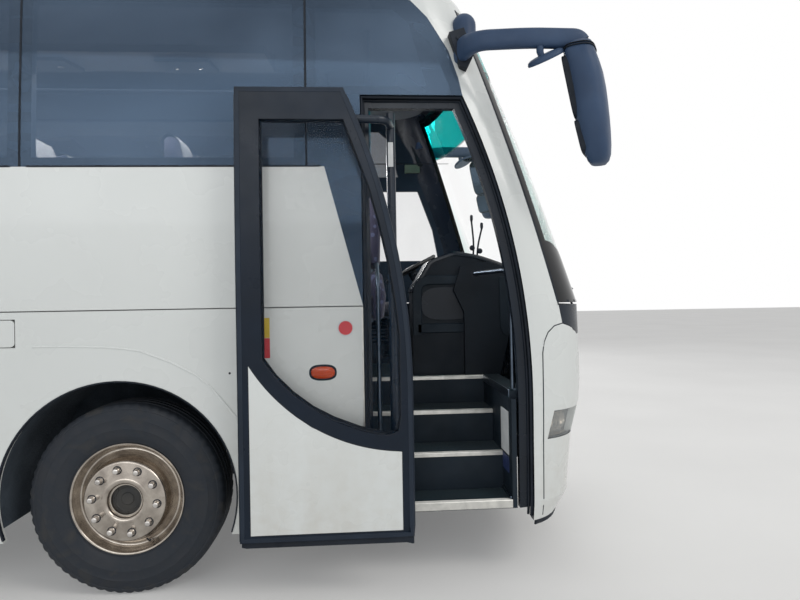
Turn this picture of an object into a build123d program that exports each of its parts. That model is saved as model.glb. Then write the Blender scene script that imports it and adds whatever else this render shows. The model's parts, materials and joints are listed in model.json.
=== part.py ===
from build123d import *
import math
import os

os.makedirs("parts", exist_ok=True)

# Coach bus at full size, in millimetres. +X is forward, +Y is left and +Z is up.
# The origin is on the ground below the middle of the body's length and width.

# Body
HALF_WIDTH = 1275.0
FRONT_BOW_R = 4500.0
REAR_BOW_R = 12000.0
SKIN = 40.0
WALL = 55.0
GLASS = 8.0
SKIRT_Z = 325.0
WAIST_Z = 1514.0
SEAM = 6.0
BELT_Z = 2260.0
GLASS_TOP_Z = 3205.0
CANT_Z = 3230.0
REAR_SPLIT_X = -5850.0
PAST_SKIN = 1500.0

# Columns: z, half width, front at the middle, front corner radius, rear at the middle, rear corner radius
LOWER_SECTIONS = [
    (320, 1275, 5940, 350, -6060, 160),
    (430, 1275, 6008, 350, -6100, 160),
    (760, 1275, 6040, 350, -6100, 160),
    (950, 1275, 6090, 350, -6100, 160),
    (1080, 1275, 6100, 350, -6092, 160),
    (1514, 1275, 6088, 350, -6085, 160),
]
UPPER_SECTIONS = [
    (1514, 1275, 6088, 350, -6085, 160),
    (1900, 1271, 5955, 350, -6078, 165),
    (2700, 1240, 5650, 350, -6045, 180),
    (3230, 1205, 5430, 360, -5995, 200),
]
ROOF_SECTIONS = [
    (3230, 1205, 5430, 360, -5995, 200),
    (3340, 1172, 5344, 420, -5960, 240),
    (3440, 1080, 5190, 520, -5880, 320),
    (3510, 905, 4960, 600, -5740, 420),
    (3548, 610, 4600, 500, -5520, 400),
    (3560, 200, 4150, 190, -5250, 190),
]
ROOF_THICK = 45.0

# Running gear
FRONT_AXLE_X = 3450.0
REAR_AXLE_X = -2800.0
WHEEL_R = 508.0
WHEEL_Y = 1079.0
TWIN_SPACING = 335.0
KINGPIN_Y = 985.0
KINGPIN_R = 20.0
SPINDLE_R = 40.0
REAR_SPINDLE_R = 60.0
RUNNING_GAP = 0.05
ARCH_R = 612.0
ARCH_Z = 531.0
ARCH_X = [FRONT_AXLE_X - 20.0, REAR_AXLE_X]
HOUSING_R = 625.0
HOUSING_THICK = 15.0
HOUSING_Y = 575.0
AXLE_CLEAR_Z = 600.0

# Floors
HOLD_FLOOR_Z = 460.0
DECK_Z = 1400.0
PLATFORM_Z = 1024.0
DECK_FRONT_X = 4500.0
PLATE = 40.0

# Entrance and its door, which stands open; the closed outline moves back and outward
DOOR_REAR_X = 4715.0
DOOR_FRONT_X = 5630.0
DOOR_TOP_Z = 2650.0
DOOR_CURVE_Z = 987.0
DOOR_CURVE_R = 4070.0
LEAF_THICK = 38.0
LEAF_GAP = 8.0
LEAF_FRONT_X = 5603.0
LEAF_CURVE_Z = 1080.0
LEAF_CURVE_R = 3814.0
LEAF_TOP_Z = 2635.0
LEAF_BOTTOM_Z = 330.0
COLUMN_X = 4882.5
COLUMN_Y = -1165.0
COLUMN_R = 25.0
ARM_R = 22.0
ARM_REACH = Vector(-304.5, -150.0, 0.0)
ARM_BEND = Vector(-30.0, -130.0, 0.0)
DOOR_OPEN = Vector(ARM_REACH.X - ARM_REACH.length, ARM_REACH.Y, 0.0)
ARM_Z = [600.0, 2500.0]
PIVOT_R = 10.0

# Luggage doors between the wheels, three a side
HOLD_FRONT_X = 2560.0
HOLD_REAR_X = -2040.0
HOLD_DOORS = 3
HOLD_DOOR_TOP_Z = 1474.0
DOOR_GAP = 8.0

# Fuel flap
FLAP_REAR_X = 2620.0
FLAP_FRONT_X = 2930.0
FLAP_LOW_Z = 1326.0
FLAP_TOP_Z = 1472.0
FLAP_THICK = 15.0

# Side glass: joints between the panes, and the pillars behind them
PANE_JOINTS_X = [4420, 2950, 1480, 10, -1460, -2930, -4400]
GLASS_REAR_X = -5600.0
PILLAR_HALF = 60.0
PANE_GAP = 12.0


def plan_face(section, inset):
    """A level section of the body: straight sides, and corner arcs that run into bowed ends."""
    z, half_width, front_x, front_r, rear_x, rear_r = section
    side_y = half_width - inset
    ends = []
    for bow_r, corner_r, end_x, way in (
        (FRONT_BOW_R, front_r, front_x, 1),
        (REAR_BOW_R, rear_r, rear_x, -1),
    ):
        corner_y = half_width - corner_r
        centre_x = end_x - way * bow_r
        run = math.sqrt((bow_r - corner_r) ** 2 - corner_y**2)
        turn = math.asin(corner_y / (bow_r - corner_r))
        middle = (turn + math.pi / 2) / 2
        bow, corner = bow_r - inset, corner_r - inset
        corner_x = centre_x + way * run
        ends.append(
            (
                (corner_x, side_y),
                (corner_x + way * corner * math.cos(middle), corner_y + corner * math.sin(middle)),
                (centre_x + way * bow * math.cos(turn), bow * math.sin(turn)),
                (end_x - way * inset, 0.0),
            )
        )
    front, rear = ends
    right = [[(x, -y) for x, y in end] for end in ends]
    with BuildSketch(Plane.XY.offset(z)) as face:
        with BuildLine():
            Line(right[1][0], right[0][0])
            ThreePointArc(right[0][0], right[0][1], right[0][2])
            ThreePointArc(right[0][2], front[3], front[2])
            ThreePointArc(front[2], front[1], front[0])
            Line(front[0], rear[0])
            ThreePointArc(rear[0], rear[1], rear[2])
            ThreePointArc(rear[2], rear[3], right[1][2])
            ThreePointArc(right[1][2], right[1][1], right[1][0])
        make_face()
    return face.sketch


def hull(sections, inset, ruled):
    """The solid body inside the skin, brought in by an inset."""
    with BuildPart() as solid:
        loft([plan_face(section, inset) for section in sections], ruled=ruled)
    return solid.part


def shell(sections, outside, inside, ruled):
    """A skin between two insets of the body."""
    with BuildPart() as skin:
        add(hull(sections, outside, ruled))
        add(hull(sections, inside, ruled), mode=Mode.SUBTRACT)
    return skin.part


def side_prism(points, reach=PAST_SKIN, both=False):
    """An outline of x and z, run out sideways: to the right, or to the left with a negative reach."""
    with BuildPart() as prism:
        with BuildSketch(Plane.XZ):
            with BuildLine():
                Polyline(*points, close=True)
            make_face()
        extrude(amount=reach, both=both)
    return prism.part


def front_prism(points, x_low, x_high):
    """An outline of y and z on the left half, mirrored to the right and run along the length."""
    mirrored = [(-y, z) for y, z in reversed(points) if y]
    with BuildPart() as prism:
        with BuildSketch(Plane.YZ.offset(x_low)):
            with BuildLine():
                Polyline(*points, *mirrored, close=True)
            make_face()
        extrude(amount=x_high - x_low)
    return prism.part


def box(x_low, x_high, y_low, y_high, z_low, z_high):
    with BuildPart() as block:
        with Locations(((x_low + x_high) / 2, (y_low + y_high) / 2, (z_low + z_high) / 2)):
            Box(x_high - x_low, y_high - y_low, z_high - z_low)
    return block.part


def save(part, name):
    part.label = name
    export_step(part, "parts/" + name + ".step")


def turned(profile, centre):
    """A profile of radius and outboard distance, revolved about the left wheel's axis."""
    with BuildPart() as wheel:
        with BuildSketch(Plane(origin=centre, x_dir=(0, 0, 1), z_dir=(-1, 0, 0))):
            with BuildLine():
                Polyline(*profile, close=True)
            make_face()
        revolve(axis=Axis(centre, (0, 1, 0)))
    return wheel.part


def front_edge(low_z, high_z, straight_x, curve_z, curve_r):
    """Points at the ends and middle of an entrance edge: upright, then leaning back on an arc."""
    def edge_x(z):
        return straight_x - curve_r + math.sqrt(curve_r**2 - max(z - curve_z, 0.0) ** 2)

    middle_z = (curve_z + high_z) / 2
    return (
        (straight_x, low_z),
        (straight_x, curve_z),
        (edge_x(middle_z), middle_z),
        (edge_x(high_z), high_z),
    )


LOWER_SHELL = shell(LOWER_SECTIONS, 0, SKIN, True)
LOWER_WALL = shell(LOWER_SECTIONS, 0, WALL, True)
UPPER_HULL = hull(UPPER_SECTIONS, 0, False)
UPPER_WALL = shell(UPPER_SECTIONS, 0, WALL, False)
UPPER_FRAME = shell(UPPER_SECTIONS, GLASS, WALL, False)
UPPER_GLASS = shell(UPPER_SECTIONS, 0, GLASS, False)

# Lines that several panels share, as x and z on the side
MASK_LINE = front_edge(300, DOOR_TOP_Z, DOOR_FRONT_X, DOOR_CURVE_Z, DOOR_CURVE_R)
ARCH_LINE = [(5255, 2746), (5205, 2900), (5091, 3085), (4999, 3179), (4800, CANT_Z + 5)]
BUMPER_LINE = [
    (5687, 280), (5687, 1240), (5696, 1300), (5720, 1350), (5760, 1385), (5815, 1398),
    (5870, 1380), (5935, 1333), (6300, 1333), (6300, 280),
]


def mask_region():
    """What lies ahead of the entrance edge and of the side glass, on both sides."""
    with BuildPart() as region:
        with BuildSketch(Plane.XZ):
            with BuildLine():
                Line(MASK_LINE[0], MASK_LINE[1])
                ThreePointArc(MASK_LINE[1], MASK_LINE[2], MASK_LINE[3])
                Polyline(MASK_LINE[3], *ARCH_LINE, (6300, CANT_Z + 5), (6300, 300), MASK_LINE[0])
            make_face()
        extrude(amount=PAST_SKIN, both=True)
    return region.part


MASK_REGION = mask_region()
BUMPER_REGION = side_prism(BUMPER_LINE, both=True)

# Windshield and the dark cowl below it, as x and z of their side edges
SCREEN_LOW_Z = 1500.0
SCREEN_TOP_Z = 3180.0
SCREEN_EDGE = [(5790, SCREEN_LOW_Z), (5547, 2352), (5266, SCREEN_TOP_Z)]
COWL_LINE = [(5790, SCREEN_LOW_Z), (5815, 1390), (5900, 1325), (6300, 1325), (6300, SCREEN_LOW_Z)]


def screen_region():
    with BuildPart() as region:
        with BuildSketch(Plane.XZ):
            with BuildLine():
                ThreePointArc(*SCREEN_EDGE)
                Polyline(SCREEN_EDGE[2], (6300, SCREEN_TOP_Z), (6300, SCREEN_LOW_Z), SCREEN_EDGE[0])
            make_face()
        extrude(amount=PAST_SKIN, both=True)
    return region.part


SCREEN_REGION = screen_region()
COWL_REGION = side_prism(COWL_LINE, both=True)

# Front mask: both A-pillars and the brow
with BuildPart() as front_mask:
    add(LOWER_WALL)
    add(UPPER_WALL)
    add(MASK_REGION, mode=Mode.INTERSECT)
    add(SCREEN_REGION, mode=Mode.SUBTRACT)
    add(COWL_REGION, mode=Mode.SUBTRACT)
    add(BUMPER_REGION, mode=Mode.SUBTRACT)
save(front_mask.part, "front_mask")

with BuildPart() as windshield:
    add(UPPER_GLASS)
    add(SCREEN_REGION, mode=Mode.INTERSECT)
save(windshield.part, "windshield")

with BuildPart() as front_cowl:
    add(LOWER_SHELL)
    add(COWL_REGION, mode=Mode.INTERSECT)
    add(BUMPER_REGION, mode=Mode.SUBTRACT)
save(front_cowl.part, "front_cowl")

# Front bumper with its lamp pockets
LAMP_LOW_Z = 765.0
LAMP_TOP_Z = 920.0
with BuildPart() as headlamps:
    add(shell(LOWER_SECTIONS, 4, SKIN, True))
    add(box(5700, 6200, 1060, 1252, LAMP_LOW_Z, LAMP_TOP_Z), mode=Mode.INTERSECT)
    mirror(about=Plane.XZ)
save(headlamps.part, "headlamps")

with BuildPart() as front_bumper:
    add(LOWER_SHELL)
    add(BUMPER_REGION, mode=Mode.INTERSECT)
    for side in (1, -1):
        y_ends = sorted((side * 1060, side * 1252))
        add(box(5700, 6200, y_ends[0], y_ends[1], LAMP_LOW_Z, LAMP_TOP_Z), mode=Mode.SUBTRACT)
save(front_bumper.part, "front_bumper")

# Roof
ROOF_INSIDE = [
    (z - ROOF_THICK * step / (len(ROOF_SECTIONS) - 1), *rest)
    for step, (z, *rest) in enumerate(ROOF_SECTIONS)
]
HATCH_SIZE = 720.0
HATCH_X = [3000.0, -4000.0]
HATCH_FOOT_Z = 3528.0
HATCH_TOP_Z = 3604.0
with BuildPart() as roof:
    add(hull(ROOF_SECTIONS, 0, False))
    with BuildSketch(Plane.XY.offset(HATCH_FOOT_Z)):
        with Locations(*[(x, 0) for x in HATCH_X]):
            RectangleRounded(HATCH_SIZE, HATCH_SIZE, 70)
    extrude(amount=HATCH_TOP_Z - HATCH_FOOT_Z)
    add(hull(ROOF_INSIDE, ROOF_THICK, False), mode=Mode.SUBTRACT)
save(roof.part, "roof")

# Side walls above the waist
RIGHT_SKIN = [(REAR_SPLIT_X, WAIST_Z), (DOOR_REAR_X, WAIST_Z), (4520, BELT_Z), (REAR_SPLIT_X, BELT_Z)]
LEFT_SKIN = [
    (REAR_SPLIT_X, WAIST_Z), (5700, WAIST_Z), (5700, 1850), (4760, 1850), (4560, BELT_Z),
    (REAR_SPLIT_X, BELT_Z),
]
CANT_STRIP = [
    (REAR_SPLIT_X, GLASS_TOP_Z), (5100, GLASS_TOP_Z), (5100, CANT_Z), (REAR_SPLIT_X, CANT_Z),
]
WALL_BACK = [(REAR_SPLIT_X, WAIST_Z), (5700, WAIST_Z), (5700, CANT_Z), (REAR_SPLIT_X, CANT_Z)]
ENTRANCE = [(DOOR_REAR_X, 200), (5700, 200), (5700, DOOR_TOP_Z), (DOOR_REAR_X, DOOR_TOP_Z)]
DRIVER_WINDOW = [(4820, 1910), (5455, 1910), (5400, 2200), (5262, 2570), (4820, 2570)]


def window_outlines():
    """Openings in the wall's frame behind each pane, from the front to the rear."""
    edges = PANE_JOINTS_X + [GLASS_REAR_X]
    for front, rear in zip(edges, edges[1:]):
        yield [
            (rear + PILLAR_HALF, 2310), (front - PILLAR_HALF, 2310),
            (front - PILLAR_HALF, 3150), (rear + PILLAR_HALF, 3150),
        ]
    yield [(4480, 2700), (5080, 2700), (4990, 3050), (4900, 3130), (4480, 3130)]


def side_wall(skin_line, way, extra_window, has_door):
    reach = way * PAST_SKIN
    with BuildPart() as wall:
        add(UPPER_FRAME)
        add(side_prism(WALL_BACK, reach), mode=Mode.INTERSECT)
        for outline in window_outlines():
            add(side_prism(outline, reach), mode=Mode.SUBTRACT)
        if extra_window:
            add(side_prism(extra_window, reach), mode=Mode.SUBTRACT)
        for outline in (skin_line, CANT_STRIP):
            add(UPPER_GLASS.intersect(side_prism(outline, reach)))
        y_ends = sorted((-way * 1190, -way * 1234))
        add(box(REAR_SPLIT_X, DOOR_REAR_X, y_ends[0], y_ends[1], DECK_Z, 1560))
        add(MASK_REGION, mode=Mode.SUBTRACT)
        if has_door:
            add(side_prism(ENTRANCE, reach), mode=Mode.SUBTRACT)
    return wall.part


save(side_wall(RIGHT_SKIN, 1, None, True), "side_wall_right")
save(side_wall(LEFT_SKIN, -1, DRIVER_WINDOW, False), "side_wall_left")


def side_glass(skin_line, way, has_door):
    reach = way * PAST_SKIN
    with BuildPart() as glass:
        add(UPPER_GLASS)
        add(side_prism([(GLASS_REAR_X, WAIST_Z), (5700, WAIST_Z), (5700, GLASS_TOP_Z),
                        (GLASS_REAR_X, GLASS_TOP_Z)], reach), mode=Mode.INTERSECT)
        add(side_prism(skin_line, reach), mode=Mode.SUBTRACT)
        add(MASK_REGION, mode=Mode.SUBTRACT)
        if has_door:
            add(side_prism(ENTRANCE, reach), mode=Mode.SUBTRACT)
        else:
            add(side_prism([(4730, 1700), (4742, 1700), (4742, 2610), (4730, 2610)], reach),
                mode=Mode.SUBTRACT)
            add(side_prism([(4730, 2598), (5700, 2598), (5700, 2610), (4730, 2610)], reach),
                mode=Mode.SUBTRACT)
        for joint_x in PANE_JOINTS_X:
            add(side_prism([(joint_x, BELT_Z - 50), (joint_x + PANE_GAP, BELT_Z - 50),
                            (joint_x + PANE_GAP, CANT_Z), (joint_x, CANT_Z)], reach),
                mode=Mode.SUBTRACT)
    return glass.part


save(side_glass(RIGHT_SKIN, 1, True), "side_glass_right")
save(side_glass(LEFT_SKIN, -1, False), "side_glass_left")

# Lower side panels: arches, the luggage doors' opening and the fuel flap's pocket
LOWER_TOP_Z = WAIST_Z - SEAM


def lower_panels(front_x, way):
    reach = way * PAST_SKIN
    with BuildPart() as panels:
        add(LOWER_SHELL)
        add(side_prism([(REAR_SPLIT_X, SKIRT_Z), (front_x, SKIRT_Z), (front_x, LOWER_TOP_Z),
                        (REAR_SPLIT_X, LOWER_TOP_Z)], reach), mode=Mode.INTERSECT)
        for x in ARCH_X:
            with BuildSketch(Plane.XZ):
                with Locations((x, ARCH_Z)):
                    Circle(ARCH_R)
            extrude(amount=reach, mode=Mode.SUBTRACT)
        add(side_prism([(HOLD_REAR_X, 200), (HOLD_FRONT_X, 200), (HOLD_FRONT_X, HOLD_DOOR_TOP_Z + 6),
                        (HOLD_REAR_X, HOLD_DOOR_TOP_Z + 6)], reach), mode=Mode.SUBTRACT)
        if way > 0:
            add(box(FLAP_REAR_X, FLAP_FRONT_X, -1300, -1250, FLAP_LOW_Z, FLAP_TOP_Z), mode=Mode.SUBTRACT)
        else:
            add(MASK_REGION, mode=Mode.SUBTRACT)
    return panels.part


save(lower_panels(DOOR_REAR_X, 1), "lower_panels_right")
save(lower_panels(5700, -1), "lower_panels_left")

with BuildPart() as fuel_flap:
    add(box(FLAP_REAR_X + 4, FLAP_FRONT_X - 4, -HALF_WIDTH, FLAP_THICK - HALF_WIDTH,
            FLAP_LOW_Z + 4, FLAP_TOP_Z - 4))
    fillet(fuel_flap.edges().filter_by(Axis.Y), 22)
save(fuel_flap.part, "fuel_flap")

# Luggage doors
DOOR_PITCH = (HOLD_FRONT_X - HOLD_REAR_X) / HOLD_DOORS
for side_name, way in (("right", 1), ("left", -1)):
    for number in range(HOLD_DOORS):
        rear_x = HOLD_REAR_X + number * DOOR_PITCH + DOOR_GAP / 2
        front_x = rear_x + DOOR_PITCH - DOOR_GAP
        with BuildPart() as luggage_door:
            add(LOWER_SHELL)
            add(side_prism([(rear_x, SKIRT_Z), (front_x, SKIRT_Z), (front_x, HOLD_DOOR_TOP_Z),
                            (rear_x, HOLD_DOOR_TOP_Z)], way * PAST_SKIN), mode=Mode.INTERSECT)
        save(luggage_door.part, "luggage_door_" + side_name + "_" + str(number + 1))

# Rear wall with its window, lamps and engine lid
LID_HALF = 820.0
LID_LOW_Z = 860.0
LID_TOP_Z = 1476.0
REAR_BUMPER_Z = 820.0
WINDOW_REGION = front_prism([(0, 2280), (960, 2280), (900, 3060), (0, 3060)], -6300, -5700)
LID_REGION = front_prism([(0, LID_LOW_Z), (LID_HALF, LID_LOW_Z), (LID_HALF, LID_TOP_Z), (0, LID_TOP_Z)],
                         -6300, -5800)
with BuildPart() as rear_wall:
    add(LOWER_WALL)
    add(UPPER_WALL)
    add(box(-6300, REAR_SPLIT_X, -1400, 1400, REAR_BUMPER_Z, CANT_Z + 5), mode=Mode.INTERSECT)
    add(WINDOW_REGION, mode=Mode.SUBTRACT)
    add(LID_REGION, mode=Mode.SUBTRACT)
    for side in (1, -1):
        y_ends = sorted((side * 930, side * 1130))
        add(box(-6300, -6040, y_ends[0], y_ends[1], 900, 1440), mode=Mode.SUBTRACT)
save(rear_wall.part, "rear_wall")

with BuildPart() as rear_window:
    add(UPPER_GLASS)
    add(WINDOW_REGION, mode=Mode.INTERSECT)
save(rear_window.part, "rear_window")

with BuildPart() as rear_bumper:
    add(LOWER_WALL)
    add(box(-6300, REAR_SPLIT_X, -1400, 1400, 300, REAR_BUMPER_Z), mode=Mode.INTERSECT)
    with BuildSketch(Plane.YZ.offset(-6200)):
        with Locations((-150, 640), (150, 640)):
            Circle(3.5)
    extrude(amount=300, mode=Mode.SUBTRACT)
save(rear_bumper.part, "rear_bumper")

with BuildPart() as engine_lid:
    add(LOWER_SHELL)
    add(front_prism([(0, LID_LOW_Z + 8), (LID_HALF - 8, LID_LOW_Z + 8), (LID_HALF - 8, LID_TOP_Z - 8),
                     (0, LID_TOP_Z - 8)], -6300, -5800), mode=Mode.INTERSECT)
save(engine_lid.part, "engine_lid")

with BuildPart() as tail_lamps:
    add(shell(LOWER_SECTIONS, 0, 35, True))
    add(box(-6300, -6040, 932, 1128, 902, 1438), mode=Mode.INTERSECT)
    mirror(about=Plane.XZ)
save(tail_lamps.part, "tail_lamps")

# Sub-frames at the front and rear, with their cross-members
with BuildPart() as chassis_frame:
    for side in (1, -1):
        front_y = sorted((side * 380, side * 460))
        rear_y = sorted((side * 480, side * 560))
        add(box(2780, 5880, front_y[0], front_y[1], 620, 800))
        add(box(-5780, -2150, rear_y[0], rear_y[1], 620, 800))
    for x_low, x_high, half in ((2780, 2900, 460), (4050, 4170, 460), (5760, 5880, 800),
                                (-2270, -2150, 560), (-4180, -4060, 560), (-5780, -5660, 900)):
        add(box(x_low, x_high, -half, half, 640, 780))
save(chassis_frame.part, "chassis_frame")

# Wheel housings: an arched tunnel with a closed inner end over each wheel
with BuildPart() as wheel_housings:
    for x in ARCH_X:
        with BuildSketch(Plane.XZ.offset(HOUSING_Y)):
            with Locations((x, ARCH_Z)):
                Circle(HOUSING_R + HOUSING_THICK)
                Circle(HOUSING_R, mode=Mode.SUBTRACT)
            with Locations((x, ARCH_Z - 500 - 150)):
                Rectangle(2000, 1000, mode=Mode.SUBTRACT)
        extrude(amount=HALF_WIDTH - SKIN - HOUSING_Y)
        with BuildSketch(Plane.XZ.offset(HOUSING_Y - HOUSING_THICK)):
            with Locations((x, ARCH_Z)):
                Circle(HOUSING_R + HOUSING_THICK)
            with Locations((x, AXLE_CLEAR_Z - 500)):
                Rectangle(2000, 1000, mode=Mode.SUBTRACT)
        extrude(amount=HOUSING_THICK)
    mirror(about=Plane.XZ)
save(wheel_housings.part, "wheel_housings")

# Luggage hold: floor, bulkheads and the posts between its doors
with BuildPart() as luggage_hold:
    add(box(-2150, 2780, -1225, 1225, HOLD_FLOOR_Z - PLATE, HOLD_FLOOR_Z))
    add(box(2740, 2780, -1225, 1225, HOLD_FLOOR_Z, DECK_Z - PLATE))
    add(box(-2150, -2110, -1225, 1225, HOLD_FLOOR_Z, DECK_Z - PLATE))
    for number in range(1, HOLD_DOORS):
        post_x = HOLD_REAR_X + number * DOOR_PITCH
        add(box(post_x - 40, post_x + 40, 1165, 1225, HOLD_FLOOR_Z, DECK_Z - PLATE))
        add(box(post_x - 40, post_x + 40, -1225, -1165, HOLD_FLOOR_Z, DECK_Z - PLATE))
save(luggage_hold.part, "luggage_hold")

# Passenger deck, the driver's platform and the step between them
STEP_X = [4730.0, 5520.0]
STEP_INNER_Y = -470.0
with BuildPart() as passenger_deck:
    add(box(-5830, DECK_FRONT_X, -1234, 1234, DECK_Z - PLATE, DECK_Z))
    add(box(DECK_FRONT_X - PLATE, DECK_FRONT_X, -1234, 1234, PLATFORM_Z - PLATE, DECK_Z))
    add(box(DECK_FRONT_X, 5640, STEP_INNER_Y, 1219, PLATFORM_Z - PLATE, PLATFORM_Z))
    add(box(DECK_FRONT_X, DOOR_REAR_X, STEP_INNER_Y, 350, PLATFORM_Z, 1212))
    add(box(DECK_FRONT_X, DOOR_REAR_X, -1234, STEP_INNER_Y, DECK_Z - PLATE, DECK_Z))
save(passenger_deck.part, "passenger_deck")

# Entrance steps. Columns: outer y, inner y, underside, tread
STEPS = [
    (-1228, -1015, 386, 430),
    (-1015, -755, 390, 645),
    (-755, -495, 605, 843),
    (-495, STEP_INNER_Y, 803, PLATFORM_Z),
]
with BuildPart() as front_steps:
    for outer_y, inner_y, low_z, tread_z in STEPS:
        add(box(STEP_X[0], STEP_X[1], outer_y, inner_y, low_z, tread_z))
    add(box(DOOR_REAR_X, STEP_X[0], -1228, STEP_INNER_Y, 386, DECK_Z))
    add(box(STEP_X[1], STEP_X[1] + 26, -1228, STEP_INNER_Y, 386, PLATFORM_Z - PLATE))
    add(box(STEP_X[1], DOOR_FRONT_X - 2, -1180, STEP_INNER_Y, PLATFORM_Z - PLATE, PLATFORM_Z))
save(front_steps.part, "front_steps")

# Black surround of the doorway, inboard of the closed door: two posts and a header
SURROUND_OUTER = 46.0
SURROUND_INNER = 90.0
POST_WIDTH = 70.0
SURROUND_LINES = [
    MASK_LINE,
    front_edge(200, DOOR_TOP_Z - 60, DOOR_FRONT_X - POST_WIDTH, DOOR_CURVE_Z, DOOR_CURVE_R),
]
with BuildPart() as door_surround:
    add(shell(LOWER_SECTIONS, SURROUND_OUTER, SURROUND_INNER, True))
    add(shell(UPPER_SECTIONS, SURROUND_OUTER, SURROUND_INNER, False))
    for line, rear_x, mode in (
        (SURROUND_LINES[0], DOOR_REAR_X, Mode.INTERSECT),
        (SURROUND_LINES[1], DOOR_REAR_X + 45, Mode.SUBTRACT),
    ):
        with BuildSketch(Plane.XZ):
            with BuildLine():
                Line(line[0], line[1])
                ThreePointArc(line[1], line[2], line[3])
                Polyline(line[3], (rear_x, line[3][1]), (rear_x, line[0][1]), line[0])
            make_face()
        extrude(amount=PAST_SKIN, mode=mode)
    add(front_steps.part, mode=Mode.SUBTRACT)
    add(box(4600, 5700, -1400, -1000, 200, 386), mode=Mode.SUBTRACT)
save(door_surround.part, "door_surround")

# Axles and knuckles
AXLE_Z = WHEEL_R
with BuildPart() as front_axle:
    add(box(FRONT_AXLE_X - 60, FRONT_AXLE_X + 60, -900, 900, 400, 510))
    for side in (1, -1):
        y_ends = sorted((side * 840, side * 950))
        add(box(FRONT_AXLE_X - 45, FRONT_AXLE_X + 45, y_ends[0], y_ends[1], 462, 554))
    with Locations((FRONT_AXLE_X, KINGPIN_Y, AXLE_Z), (FRONT_AXLE_X, -KINGPIN_Y, AXLE_Z)):
        Cylinder(48, 106)
        Cylinder(KINGPIN_R + RUNNING_GAP, 106, mode=Mode.SUBTRACT)
    for side in (1, -1):
        add(box(FRONT_AXLE_X - 55, FRONT_AXLE_X + 55, side * 420 - 35, side * 420 + 35, 510, 620))
save(front_axle.part, "front_axle")

with BuildPart() as rear_axle:
    with Locations(Location((REAR_AXLE_X, 0, AXLE_Z), (90, 0, 0))):
        Cylinder(75, 1630)
        Cylinder(REAR_SPINDLE_R, 2150)
        Cylinder(220, 300)
    for side in (1, -1):
        add(box(REAR_AXLE_X - 60, REAR_AXLE_X + 60, side * 520 - 35, side * 520 + 35, 560, 620))
save(rear_axle.part, "rear_axle")

for side_name, way in (("left", 1), ("right", -1)):
    with BuildPart() as knuckle:
        for z in (AXLE_Z - 78, AXLE_Z + 78):
            with Locations((FRONT_AXLE_X, way * KINGPIN_Y, z)):
                Cylinder(46, 40)
            y_ends = sorted((way * KINGPIN_Y, way * 1058))
            add(box(FRONT_AXLE_X - 46, FRONT_AXLE_X + 46, y_ends[0], y_ends[1], z - 20, z + 20))
        with Locations((FRONT_AXLE_X, way * KINGPIN_Y, AXLE_Z)):
            Cylinder(KINGPIN_R, 190)
        y_ends = sorted((way * 1038, way * 1062))
        add(box(FRONT_AXLE_X - 70, FRONT_AXLE_X + 70, y_ends[0], y_ends[1], AXLE_Z - 98, AXLE_Z + 98))
        with Locations(Location((FRONT_AXLE_X, way * 1120, AXLE_Z), (90, 0, 0))):
            Cylinder(SPINDLE_R, 140)
    save(knuckle.part, "knuckle_" + side_name)

# Wheels. Profiles: radius, and distance outboard of the wheel's middle
TYRE_PROFILE = [
    (287, -112), (400, -149), (495, -132), (WHEEL_R, -108), (WHEEL_R, 108), (495, 132), (400, 149),
    (287, 112),
]
FRONT_RIM_PROFILE = [
    (298, 126), (298, 118), (286, 116), (286, -116), (298, -118), (298, -126), (276, -126), (274, 70),
    (206, 150), (100, 150), (100, 40), (SPINDLE_R + RUNNING_GAP, 40), (SPINDLE_R + RUNNING_GAP, 120),
    (86, 120), (86, 164), (210, 164), (252, 112), (276, 104), (280, 126),
]
REAR_RIM_PROFILE = [
    (298, 126), (298, 118), (286, 116), (286, -116), (298, -118), (298, -126), (280, -130),
    (280, -205), (298, -209), (298, -217), (286, -219), (286, -451), (298, -453), (298, -461),
    (276, -461), (264, -440), (264, -185), (110, -185), (110, -260),
    (REAR_SPINDLE_R + RUNNING_GAP, -260), (REAR_SPINDLE_R + RUNNING_GAP, 0), (0, 0), (0, 30),
    (100, 30), (120, 10), (140, -150), (264, -158), (276, -120), (280, 126),
]
TYRE_ROWS = {"front": [0.0], "rear": [0.0, -TWIN_SPACING]}
for end_name, axle_x, rim_profile in (
    ("front", FRONT_AXLE_X, FRONT_RIM_PROFILE),
    ("rear", REAR_AXLE_X, REAR_RIM_PROFILE),
):
    rim_left = turned(rim_profile, (axle_x, WHEEL_Y, AXLE_Z))
    tyre_left = Part() + [
        turned(TYRE_PROFILE, (axle_x, WHEEL_Y + row, AXLE_Z)) for row in TYRE_ROWS[end_name]
    ]
    for piece_name, piece in (("rim", rim_left), ("tyre", tyre_left)):
        save(piece, end_name + "_" + piece_name + "_left")
        save(piece.mirror(Plane.XZ), end_name + "_" + piece_name + "_right")

# Engine behind the rear axle, as one block
save(box(-5560, -4300, -450, 450, 480, 1300), "engine_block")

# Driver's place
DRIVER_Y = 600.0
WHEEL_TILT = math.radians(28.0)
STEERING_PLANE = Plane(
    origin=(5130, DRIVER_Y, 1800), z_dir=(-math.sin(WHEEL_TILT), 0, math.cos(WHEEL_TILT))
)
with BuildPart() as dashboard:
    with BuildSketch(Plane.XZ.offset(-1000)):
        with BuildLine():
            Polyline((5400, PLATFORM_Z), (5400, 1450), (5330, 1600), (5380, 1760), (5560, 1790),
                     (5800, 1700), (5640, PLATFORM_Z), close=True)
        make_face()
    extrude(amount=1000 - STEP_INNER_Y)
    with BuildSketch(Plane.XZ.offset(120)):
        with BuildLine():
            Polyline((5054, PLATFORM_Z), (5054, 1605), (5171, 1791), (5341, 1856), (5511, 1828),
                     (5783, 1730), (5640, PLATFORM_Z), close=True)
        make_face()
    extrude(amount=310)
    with BuildSketch(STEERING_PLANE.offset(-25)):
        Circle(38)
    extrude(amount=-540)
save(dashboard.part, "dashboard")

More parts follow.
